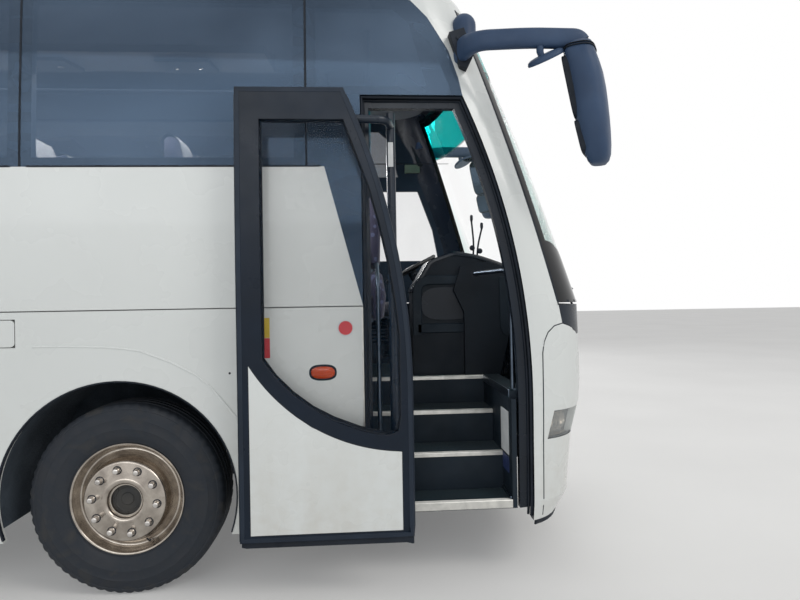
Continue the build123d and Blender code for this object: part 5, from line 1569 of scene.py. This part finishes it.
piece("console_rim", merged(
    side_frame([(5.085, 1.300), (5.085, 1.672), (5.515, 1.672), (5.515, 1.262)], -0.4310, 0.066, 0.007),
    side_frame([(5.512, 1.400), (5.500, 1.345), (5.250, 1.345), (5.090, 1.345)], -0.4310, 0.066, 0.007),
), STEP_GREY, crease=50)
oval = super_loop((5.290, -0.4305, 1.512), EAST, UP, 0.176, 0.112, 3.2, 48)
piece("console_recess", prism(oval, (0, -0.0035, 0)), BLACK_TRIM, bevel=0.001)
locker = [(5.640, 1.690), (5.700, 1.690), (5.745, 1.660), (5.712, 1.300), (5.690, 1.285), (5.665, 1.300), (5.645, 1.340)]
piece("console_locker", prism([(x, -0.4715, z) for x, z in locker], (0, -0.004, 0)), STEP_GREY,
      bevel=0.003)
piece("dash_top_rail", tube(rounded([(5.560, -0.462, 1.715), (5.720, -0.462, 1.712), (5.768, -0.462, 1.690)], 0.02), 0.006, 8),
      SATIN_STEEL)
mics = []
for path in (((5.600, 0.300, 1.772), (5.622, 0.300, 1.960), (5.604, 0.300, 2.166)),
             ((5.640, 0.300, 1.762), (5.650, 0.300, 1.960), (5.686, 0.300, 2.104))):
    mics.append(tube(rounded(path, 0.20, 8), 0.0075, 10))
    tip = Vector(path[2])
    mics.append(tube([tip - UP * 0.004, tip + UP * 0.012, tip + UP * 0.040, tip + UP * 0.048], [0.008, 0.012, 0.012, 0.007], 12))
for x, z in ((5.604, 1.948), (5.665, 1.923)):
    mics.append(lathe([(0.0, 0.014), (0.016, 0.012), (0.022, 0.0), (0.016, -0.012), (0.0, -0.014)], (x, 0.285, z), NORTH, 24))
mics.append(lathe([(0.0, 0.012), (0.030, 0.010), (0.036, 0.0), (0.036, -0.010), (0.0, -0.010)], (5.640, 0.300, 1.770), UP, 28))
piece("dash_goosenecks", merged(*mics), RUBBER)
cluster = []
for step in range(13):
    angle = math.pi * (0.08 + 0.84 * step / 12)
    cluster.append((0.30 * math.cos(angle), 0.105 * math.sin(angle)))
hood_outline = [Vector((5.545, DRIVER_Y + y, 1.770 + z)) for y, z in cluster]
hood_outline += [Vector((5.545, DRIVER_Y + y * 0.90, 1.765 + z * 0.84)) for y, z in reversed(cluster)]
dials = [lathe([(0.040, 0.004), (0.044, 0.004), (0.044, -0.003), (0.040, -0.003)], (5.385, DRIVER_Y + y, 1.700), (-1, 0, 0.35), 32)
         for y in (-0.16, -0.055, 0.055, 0.16)]
switches = [block((5.343 + 0.010 * row, y - 0.013, 1.640 + 0.030 * row), (5.352 + 0.010 * row, y + 0.013, 1.662 + 0.030 * row))
            for row in range(2) for y in (0.14, 0.175, 0.21, 0.245, 0.28, 0.315, 0.90, 0.935)]
piece("instrument_hood", prism(hood_outline, (-0.20, 0, 0)), HOOD_BLACK, bevel=0.003)
piece("instrument_dials", merged(*dials), SATIN_STEEL)
piece("dash_switches", merged(*switches), RUBBER, bevel=0.0015)
piece("dash_screen", merged(
    prism([(5.352, -0.050, 1.640), (5.352, 0.110, 1.640), (5.392, 0.110, 1.745), (5.392, -0.050, 1.745)], (-0.012, 0, 0.004)),
), BLACK_TRIM, bevel=0.003)
vents = []
for y in (-0.30, -0.05, 0.20, 0.60, 0.85):
    for slat in range(5):
        vents.append(block((5.500 + 0.020 * slat, y - 0.055, 1.786 - 0.001 * slat), (5.509 + 0.020 * slat, y + 0.055, 1.796)))
piece("dash_vents", merged(*vents[5:]), RUBBER, bevel=0.001)
pedals = [merged(prism([(x, y, z) for x, z in ((5.300, 1.060), (5.312, 1.054), (5.372, 1.150), (5.360, 1.156))], (0, wide, 0)),
                 tube([(5.352, y + wide / 2, 1.130), (5.405, y + wide / 2, 1.150)], 0.008, 8))
          for y, wide in ((0.400, 0.065), (0.520, 0.085), (0.690, 0.085))]
piece("pedals", merged(*pedals), RUBBER, bevel=0.002)

# Folded guide's seat on the stairwell's rear wall, switch box, grab rods and partitions
guide_pads = merged(
    stuffed((4.800, -0.760, 1.420), (4.792, -0.760, 1.715), NORTH, [
        (0.0, 0.120, 0.020, 0.0, 0.0), (0.06, 0.172, 0.044, 0.0, 0.0), (0.5, 0.190, 0.056, 0.004, 0.010),
        (0.92, 0.166, 0.044, 0.0, 0.0), (1.0, 0.110, 0.018, 0.0, 0.0)]),
    stuffed((4.790, -0.760, 1.740), (4.776, -0.760, 2.160), NORTH, [
        (0.0, 0.120, 0.016, 0.0, 0.0), (0.05, 0.176, 0.034, 0.0, 0.0), (0.5, 0.190, 0.042, 0.003, 0.012),
        (0.90, 0.160, 0.036, 0.0, 0.0), (1.0, 0.100, 0.014, 0.0, 0.0)]))
guide_seat = piece("guide_seat_pads", guide_pads, SEAT_CLOTH, crease=60)
piece("guide_seat_bracket", merged(
    block((4.7305, -0.900, 1.440), (4.750, -0.620, 2.120)),
    tube([(4.765, -0.945, 1.560), (4.765, -0.575, 1.560)], 0.011, 10),
), FRAME_PAINT, bevel=0.003)
piece("wall_switch_box", block((5.140, 1.150, 2.735), (5.282, 1.183, 2.812)), SWITCH_GREEN, bevel=0.004)
piece("column_label", prism([(x, -1.1912, z) for x, z in ((4.866, 2.272), (4.894, 2.272), (4.894, 2.406), (4.866, 2.406))],
                            (0, -0.0008, 0)), PAPER, "door_column")
piece("grab_rods", merged(
    tube([(4.772, -0.560, 1.4000), (4.772, -0.560, 3.300)], 0.014, 12),
    tube([(4.470, 0.330, 1.4005), (4.470, 0.330, 3.350)], 0.014, 12),
), SATIN_STEEL)
partition = [(4.462, -0.470), (4.482, -0.470), (4.482, -1.100), (4.462, -1.100)]
piece("front_partitions", merged(
    prism([(x, y, 1.4005) for x, y in partition], (0, 0, 0.640)),
    prism([(4.492, 0.300, 1.2135), (4.512, 0.300, 1.2135), (4.512, 1.110, 1.2135), (4.492, 1.110, 1.2135)], (0, 0, 0.860)),
), DARK_LINING, bevel=0.004)

# Side windows: rubber joints between the panes, gaskets along the belt and the roof, and a drip rail
PANE_JOINTS_X = (4.420, 2.950, 1.480, 0.010, -1.460, -2.930, -4.400)


def pane_joint(x, side, low_z=2.264, high_z=3.200, beside=0.060):
    hits = [on_side(x + beside, low_z + (high_z - low_z) * step / 16, side) for step in range(17)]
    return ribbon([Vector((x + 0.006, place.y, place.z)) for place, _ in hits], [normal for _, normal in hits],
                  0.0125, 0.0012, 0.006)


joints = [pane_joint(x, side) for side in (LEFT, RIGHT) for x in PANE_JOINTS_X]
joints.append(pane_joint(4.730, LEFT, 1.860, 2.598))
joints.append(side_strip([(4.742, 2.604), (5.240, 2.604)], LEFT, 0.012, 0.0012))
joints += [side_strip([(-5.598, 3.200), (-5.598, 2.262), (4.500, 2.262)], side, 0.011, 0.0018) for side in (LEFT, RIGHT)]
joints += [side_strip([(-5.600, 3.204), (4.900, 3.204)], side, 0.008, 0.0016) for side in (LEFT, RIGHT)]
joints.append(side_strip([(4.560, 2.258), (4.757, 1.853), (5.480, 1.853)], LEFT, 0.011, 0.0018))
piece("window_joints", merged(*joints), RUBBER)
piece("drip_rails", merged(*[side_strip([(-5.780, 3.236), (4.760, 3.236)], side, 0.016, 0.006) for side in (LEFT, RIGHT)]),
      WHITE)

# Luggage doors: two latch cups with paddles in each, and a rubber edge below
HOLD_REAR_X, HOLD_DOOR_PITCH = -2.040, 4.600 / 3
for side in (LEFT, RIGHT):
    for number in range(3):
        rear_x = HOLD_REAR_X + number * HOLD_DOOR_PITCH + 0.004
        front_x = rear_x + HOLD_DOOR_PITCH - 0.008
        name = "_" + SIDE_NAMES[side] + "_" + str(number + 1)
        cups, paddles = [], []
        for share in (0.22, 0.78):
            x = rear_x + (front_x - rear_x) * share
            cups.append(pill((x, SIDE_Y, 0.470), 0.078, 0.040, 0.0035, side, 4.0))
            paddles.append(pill((x, SIDE_Y + 0.002, 0.478), 0.060, 0.020, 0.010, side, 4.0))
            paddles.append(lathe([(0.0, 0.007), (0.008, 0.006), (0.009, 0.0), (0.0, 0.0)],
                                 (x, side * SIDE_Y, 0.446), (0, side, 0), 16))
        edge = side_strip([(rear_x + 0.004, 0.334), (front_x - 0.004, 0.334)], side, 0.016, 0.004)
        piece("luggage_latches" + name, merged(*cups, edge), RUBBER, "luggage_door" + name)
        piece("luggage_paddles" + name, merged(*paddles), BLACK_TRIM, "luggage_door" + name)

# Lower panels: seams with their locks, air grilles at the rear, and the fuel flap's lock


def side_grille(low_x, high_x, low_z, high_z, side, count):
    """A framed panel of slanted slats on the body's side."""
    face = side * SIDE_Y
    shapes = [prism([(x, face - side * 0.001, z) for x, z in ((low_x, low_z), (high_x, low_z), (high_x, high_z),
                                                            (low_x, high_z))], (0, side * 0.002, 0))]
    pitch = (high_z - low_z) / count
    for slat in range(count):
        z = low_z + pitch * (slat + 0.25)
        outline = [(0.0005, z + pitch * 0.55), (0.0045, z + pitch * 0.50), (0.0105, z), (0.0090, z - 0.002), (0.0005, z + pitch * 0.35)]
        shapes.append(prism([(low_x + 0.012, face + side * out, height) for out, height in outline],
                            (high_x - low_x - 0.024, 0, 0)))
    for start, end in (((low_x, low_z), (high_x, low_z + 0.014)), ((low_x, high_z - 0.014), (high_x, high_z)),
                       ((low_x, low_z), (low_x + 0.014, high_z)), ((high_x - 0.014, low_z), (high_x, high_z))):
        low_y, high_y = sorted((face, face + side * 0.009))
        shapes.append(block((start[0], low_y, start[1]), (end[0], high_y, end[1])))
    return merged(*shapes)


piece("side_grilles", merged(side_grille(-5.640, -4.900, 0.620, 1.300, LEFT, 15),
                             side_grille(-5.640, -5.140, 0.900, 1.300, RIGHT, 9)), BLACK_TRIM, bevel=0.001)
seams, locks = [], []
for side in (LEFT, RIGHT):
    for x in (-3.620, -4.720):
        seams.append(side_strip([(x, 0.332), (x, 1.500)], side, 0.005, 0.0006))
        locks.append(lathe([(0.0, 0.004), (0.010, 0.0035), (0.013, 0.0), (0.013, -0.002), (0.0, -0.002)],
                           (x + 0.090, side * SIDE_Y, 0.420), (0, side, 0), 20))
piece("panel_seams", merged(*seams), RUBBER)
piece("panel_locks", merged(*locks), SATIN_STEEL)
piece("fuel_flap_lock", merged(
    lathe([(0.0, 0.0045), (0.009, 0.004), (0.013, 0.001), (0.013, -0.002), (0.0, -0.002)], (2.662, -SIDE_Y, 1.399), (0, -1, 0), 24),
    block((2.6605, -SIDE_Y - 0.0052, 1.393), (2.6635, -SIDE_Y - 0.0040, 1.405)),
), SATIN_STEEL, "fuel_flap")

# Rear: lamps with bezels, reflectors, window gasket, engine lid's louvres and latches


def on_rear(y, z, profile, steps=40):
    place, normal = on_end(y, z, -1)
    return lathe(profile, place, normal, steps)


ambers, reds, clears, bezels = [], [], [], []
for side in (LEFT, RIGHT):
    for group, z, r in ((ambers, 1.350, 0.072), (reds, 1.190, 0.072), (clears, 1.050, 0.050), (reds, 0.952, 0.040)):
        group.append(on_rear(side * 1.030, z, [(0.0, 0.011), (r * 0.6, 0.009), (r * 0.9, 0.004), (r, 0.0), (r, -0.004), (0.0, -0.004)]))
        bezels.append(on_rear(side * 1.030, z, [(r + 0.001, 0.0035), (r + 0.008, 0.003), (r + 0.011, -0.003), (r + 0.001, -0.003)]))
    reds.append(end_strip([(side * 0.900, 0.560), (side * 1.040, 0.560)], -1, 0.045, 0.006))
reds.append(end_strip([(-0.240, 3.120), (0.240, 3.120)], -1, 0.026, 0.008))
piece("rear_lenses_red", merged(*reds), LAMP_RED)
piece("rear_lenses_amber", merged(*ambers), LAMP_AMBER)
piece("rear_lenses_clear", merged(*clears), LAMP_SILVER)
piece("rear_lamp_bezels", merged(*bezels), BLACK_TRIM)
piece("rear_window_gasket", end_strip([(-0.960, 2.280), (0.960, 2.280), (0.900, 3.060), (-0.900, 3.060)], -1, 0.022, 0.004,
                                      loop=True), RUBBER)
louvres, latches = [], []
for side in (LEFT, RIGHT):
    hits = [on_end(side * 0.590, 0.955 + 0.0435 * step, -1) for step in range(11)]
    louvres.append(ribbon([hit[0] for hit in hits], [hit[1] for hit in hits], 0.360, 0.0014))
    for slat in range(14):
        z = 0.972 + 0.030 * slat
        louvres.append(end_strip([(side * 0.425, z), (side * 0.755, z)], -1, 0.013, 0.0052))
    latches.append(on_rear(side * 0.740, 0.905, [(0.0, 0.005), (0.022, 0.004), (0.028, 0.0), (0.028, -0.002), (0.0, -0.002)], 24))
piece("engine_lid_louvres", merged(*louvres), BLACK_TRIM, "engine_lid")
piece("engine_lid_latches", merged(*latches), SATIN_STEEL, "engine_lid")
tail_pipe = rounded([(-5.560, 0.620, 0.560), (-5.700, 0.660, 0.440), (-5.940, 0.700, 0.285)], 0.12)
piece("exhaust_tip", merged(tube(tail_pipe, 0.048, 20)), SATIN_STEEL)

# Engine: block, head, covers, manifolds, charger, pulleys and radiator


def corner_loop(centre, length, width, radius, steps=7):
    """A level rounded rectangle."""
    points = []
    for way_x, way_y, start in ((1, 1, 0), (-1, 1, 90), (-1, -1, 180), (1, -1, 270)):
        for step in range(steps + 1):
            angle = math.radians(start + 90 * step / steps)
            points.append(Vector(centre) + Vector((way_x * (length / 2 - radius) + radius * math.cos(angle),
                                                   way_y * (width / 2 - radius) + radius * math.sin(angle), 0)))
    return points


def crate(centre_x, centre_y, rows):
    """A moulded box. Columns: z, length, width, corner radius."""
    return skin([corner_loop((centre_x, centre_y, z), *row) for z, *row in rows])


engine = [
    crate(-4.880, 0.0, [(0.620, 0.900, 0.420, 0.05), (0.700, 0.900, 0.500, 0.05), (0.940, 0.900, 0.500, 0.05), (1.010, 0.900, 0.440, 0.05)]),
    crate(-4.860, 0.0, [(0.482, 0.640, 0.300, 0.06), (0.500, 0.700, 0.360, 0.06), (0.600, 0.800, 0.400, 0.06), (0.622, 0.820, 0.440, 0.05)]),
    crate(-4.880, -0.030, [(1.008, 0.860, 0.360, 0.03), (1.120, 0.860, 0.340, 0.03)]),
    crate(-4.880, -0.030, [(1.118, 0.800, 0.260, 0.05), (1.180, 0.790, 0.250, 0.05), (1.205, 0.760, 0.210, 0.05), (1.214, 0.700, 0.150, 0.05)]),
    lathe([(0.0, 0.0), (0.200, 0.0), (0.215, 0.020), (0.230, 0.100), (0.230, 0.118), (0.0, 0.118)], (-4.430, 0.0, 0.780), EAST, 40),
]
for number in range(6):
    x = -5.230 + 0.140 * number
    engine.append(tube(rounded([(x, 0.150, 1.060), (x, 0.230, 1.070), (x, 0.262, 1.040)], 0.03), 0.024, 10))
    engine.append(tube([(x, -0.190, 1.060), (x, -0.250, 1.060)], 0.028, 10))
engine.append(tube([(-5.290, 0.270, 1.030), (-4.470, 0.270, 1.030)], 0.044, 16))
engine.append(tube([(-5.260, -0.262, 1.055), (-4.500, -0.262, 1.055)], 0.036, 16))
engine.append(lathe([(0.0, -0.070), (0.050, -0.070), (0.088, -0.050), (0.094, -0.020), (0.060, 0.0), (0.092, 0.018), (0.096, 0.050),
                     (0.052, 0.072), (0.0, 0.072)], (-4.900, -0.330, 1.030), EAST, 28))
pulleys = [lathe([(0.0, 0.0), (r, 0.0), (r, 0.010), (r - 0.008, 0.014), (r - 0.008, 0.026), (r, 0.030), (r, 0.040),
                  (r * 0.5, 0.040), (r * 0.45, 0.050), (0.0, 0.050)], (-5.330, y, z), (-1, 0, 0), 32)
           for y, z, r in ((0.0, 0.700, 0.110), (0.0, 0.930, 0.085), (0.230, 0.860, 0.050), (-0.240, 0.880, 0.060))]
belt_loop = [Vector((-5.350, y, z)) for y, z in ((-0.100, 0.650), (0.0, 0.594), (0.100, 0.650), (0.276, 0.840), (0.268, 0.895),
                                                 (0.080, 0.990), (0.0, 1.016), (-0.080, 0.990), (-0.292, 0.908), (-0.294, 0.848))]
belts = ribbon(belt_loop, [Vector((0, place.y, place.z - 0.80)).normalized() for place in belt_loop], 0.020, 0.004, loop=True)
radiator = merged(
    block((-5.540, 0.372, 0.560), (-4.660, 0.446, 1.250)),
    *[block((-5.520 + 0.0345 * fin, 0.364, 0.590), (-5.510 + 0.0345 * fin, 0.373, 1.220)) for fin in range(25)],
    tube(rounded([(-5.300, 0.360, 1.180), (-5.300, 0.240, 1.180), (-5.300, 0.100, 1.080)], 0.05), 0.026, 12))
engine_piece = piece("engine_details", merged(*engine), ENGINE_PAINT, bevel=0.004)
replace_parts(engine_piece, "engine_block")
piece("engine_pulleys", merged(*pulleys, radiator), FRAME_PAINT, bevel=0.001)
piece("engine_belt", belts, RUBBER)

# Roof: hatch seals and the air conditioner's cover with its fans
hatches = []
for x in (3.000, -4.000):
    hatches.append(skin([corner_loop((x, 0.0, z), size, size, radius) for z, size, radius in (
        (3.545, 0.742, 0.080), (3.574, 0.742, 0.080), (3.580, 0.732, 0.076), (3.580, 0.716, 0.068))]))
piece("hatch_seals", merged(*hatches), RUBBER)
cover_rows = [(3.500, 2.986, 1.786, 0.198), (3.562, 2.948, 1.748, 0.190), (3.566, 2.936, 1.736, 0.186), (3.571, 2.936, 1.736, 0.186),
              (3.575, 2.940, 1.740, 0.188), (3.638, 2.902, 1.702, 0.180), (3.655, 2.840, 1.640, 0.168), (3.676, 2.750, 1.550, 0.146),
              (3.690, 2.680, 1.480, 0.130), (3.694, 2.640, 1.440, 0.120), (3.686, 2.590, 1.390, 0.100)]
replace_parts(piece("ac_cover", crate(0.0, 0.0, cover_rows), ROOF_PLASTIC, crease=50), "ac_unit")
fans, wells = [], []
for x in (-0.860, 0.0, 0.860):
    centre = Vector((x, 0.0, 3.686))
    fans.append(lathe([(0.292, -0.002), (0.292, 0.014), (0.300, 0.0165), (0.318, 0.012), (0.330, -0.002)], centre, UP, 64))
    fans += [lathe([(r, 0.0090), (r + 0.004, 0.0090), (r + 0.004, 0.0130), (r, 0.0130)], centre, UP, 56)
             for r in (0.060, 0.106, 0.152, 0.198, 0.244)]
    fans += [tube([centre + Vector((math.cos(turn) * r, math.sin(turn) * r, 0.0105)) for r in (0.020, 0.294)], 0.0035, 6)
             for turn in [math.radians(30 * spoke) for spoke in range(12)]]
    wells.append(lathe([(0.0, 0.0070), (0.055, 0.0070), (0.058, 0.0015), (0.291, 0.0015), (0.291, -0.004), (0.0, -0.004)], centre, UP, 48))
slats = [tube([(-1.250, side * (0.8715 - 0.2967 * (z - 3.575)), z), (1.250, side * (0.8715 - 0.2967 * (z - 3.575)), z)], 0.0042, 8)
         for side in (LEFT, RIGHT) for z in (3.588, 3.600, 3.612, 3.624)]
piece("ac_fan_guards", merged(*fans), RUBBER)
piece("ac_fan_wells", merged(*wells, *slats), BLACK_TRIM)

# Running gear: brake discs and drums, drive shaft, air tanks and mudflaps
for side in (LEFT, RIGHT):
    name = SIDE_NAMES[side]
    outboard = Vector((0, side, 0))
    disc = lathe([(0.130, 0.1485), (0.145, 0.1485), (0.145, -0.060), (0.215, -0.060), (0.215, -0.078), (0.206, -0.080), (0.206, -0.086),
                  (0.215, -0.088), (0.215, -0.105), (0.130, -0.105)], Vector((FRONT_AXLE_X, side * WHEEL_Y, AXLE_Z)), outboard, 48)
    piece("brake_disc_" + name, disc, SATIN_STEEL, "front_wheel_" + name, crease=40)
    drum = lathe([(0.112, -0.188), (0.200, -0.188), (0.212, -0.205), (0.216, -0.260), (0.222, -0.262), (0.222, -0.300), (0.216, -0.302),
                  (0.216, -0.400), (0.196, -0.400), (0.196, -0.240), (0.112, -0.240)],
                 Vector((REAR_AXLE_X, side * WHEEL_Y, AXLE_Z)), outboard, 48)
    piece("brake_drum_" + name, drum, FRAME_PAINT, "rear_wheels_" + name, crease=40)
flaps = []
for side in (LEFT, RIGHT):
    low_y, high_y = sorted((side * 0.640, side * 1.235))
    flaps.append(block((-3.432, low_y, 0.170), (-3.424, high_y, 0.520)))
    flaps += [block((-3.424, low_y + 0.04 + 0.07 * rib, 0.190), (-3.4205, low_y + 0.055 + 0.07 * rib, 0.500)) for rib in range(8)]
piece("mudflaps", merged(*flaps), RUBBER, bevel=0.002)
tanks = [lathe([(0.0, 0.0), (0.060, 0.004), (0.100, 0.022), (0.118, 0.050), (0.120, 0.080), (0.120, 0.620), (0.118, 0.650), (0.100, 0.678),
                (0.060, 0.696), (0.0, 0.700)], (-4.020, y, 0.700), EAST, 32) for y in (0.330, -0.330)]
shaft = tube([(-4.310, 0.0, 0.780), (-4.200, 0.0, 0.760), (-4.190, 0.0, 0.758), (-3.120, 0.0, 0.560), (-3.110, 0.0, 0.558), (-3.015, 0.0, 0.540)],
             [0.080, 0.080, 0.052, 0.052, 0.075, 0.075], 24)
piece("air_tanks", merged(*tanks, shaft), FRAME_PAINT, crease=40)

# Inside: rails on the racks, and a service unit with its lamps under them over every pair of seats
units, lenses = [], []
for row in range(SEAT_ROWS):
    x = FIRST_SEAT_X - row * SEAT_PITCH
    for side in (LEFT, RIGHT):
        outline = [(0.760, 2.956), (1.040, 2.917), (1.034, 2.898), (0.780, 2.930)]
        units.append(prism([(x - 0.150, side * y, z) for y, z in outline], (0.300, 0, 0)))
        for offset in (-0.070, 0.070):
            lenses.append(lathe([(0.0, 0.006), (0.014, 0.005), (0.020, 0.0), (0.020, -0.004), (0.0, -0.004)],
                                (x + offset, side * 0.900, 2.9150), (0, -side * 0.12, -1), 18))
piece("rack_service_units", merged(*units), PALE_LINING, bevel=0.004)
piece("rack_lamps", merged(*lenses), LAMP_SILVER)
piece("rack_rails", merged(*[tube([(-5.580, side * 0.715, 3.077), (4.180, side * 0.715, 3.077)], 0.0095, 12) for side in (LEFT, RIGHT)]),
      SATIN_STEEL)

# Front: a blank plate and slots low in the bumper
piece("blank_front_plate", merged(ribbon(*zip(*[on_end(-0.258 + 0.043 * step, 0.545, 1) for step in range(13)]), 0.110, 0.006)),
      PAPER, bevel=0.001)
piece("bumper_slots", merged(*[end_strip([(-0.700, z), (0.700, z)], 1, 0.018, 0.003) for z in (0.640, 0.672, 0.704, 0.736)]),
      BLACK_TRIM)
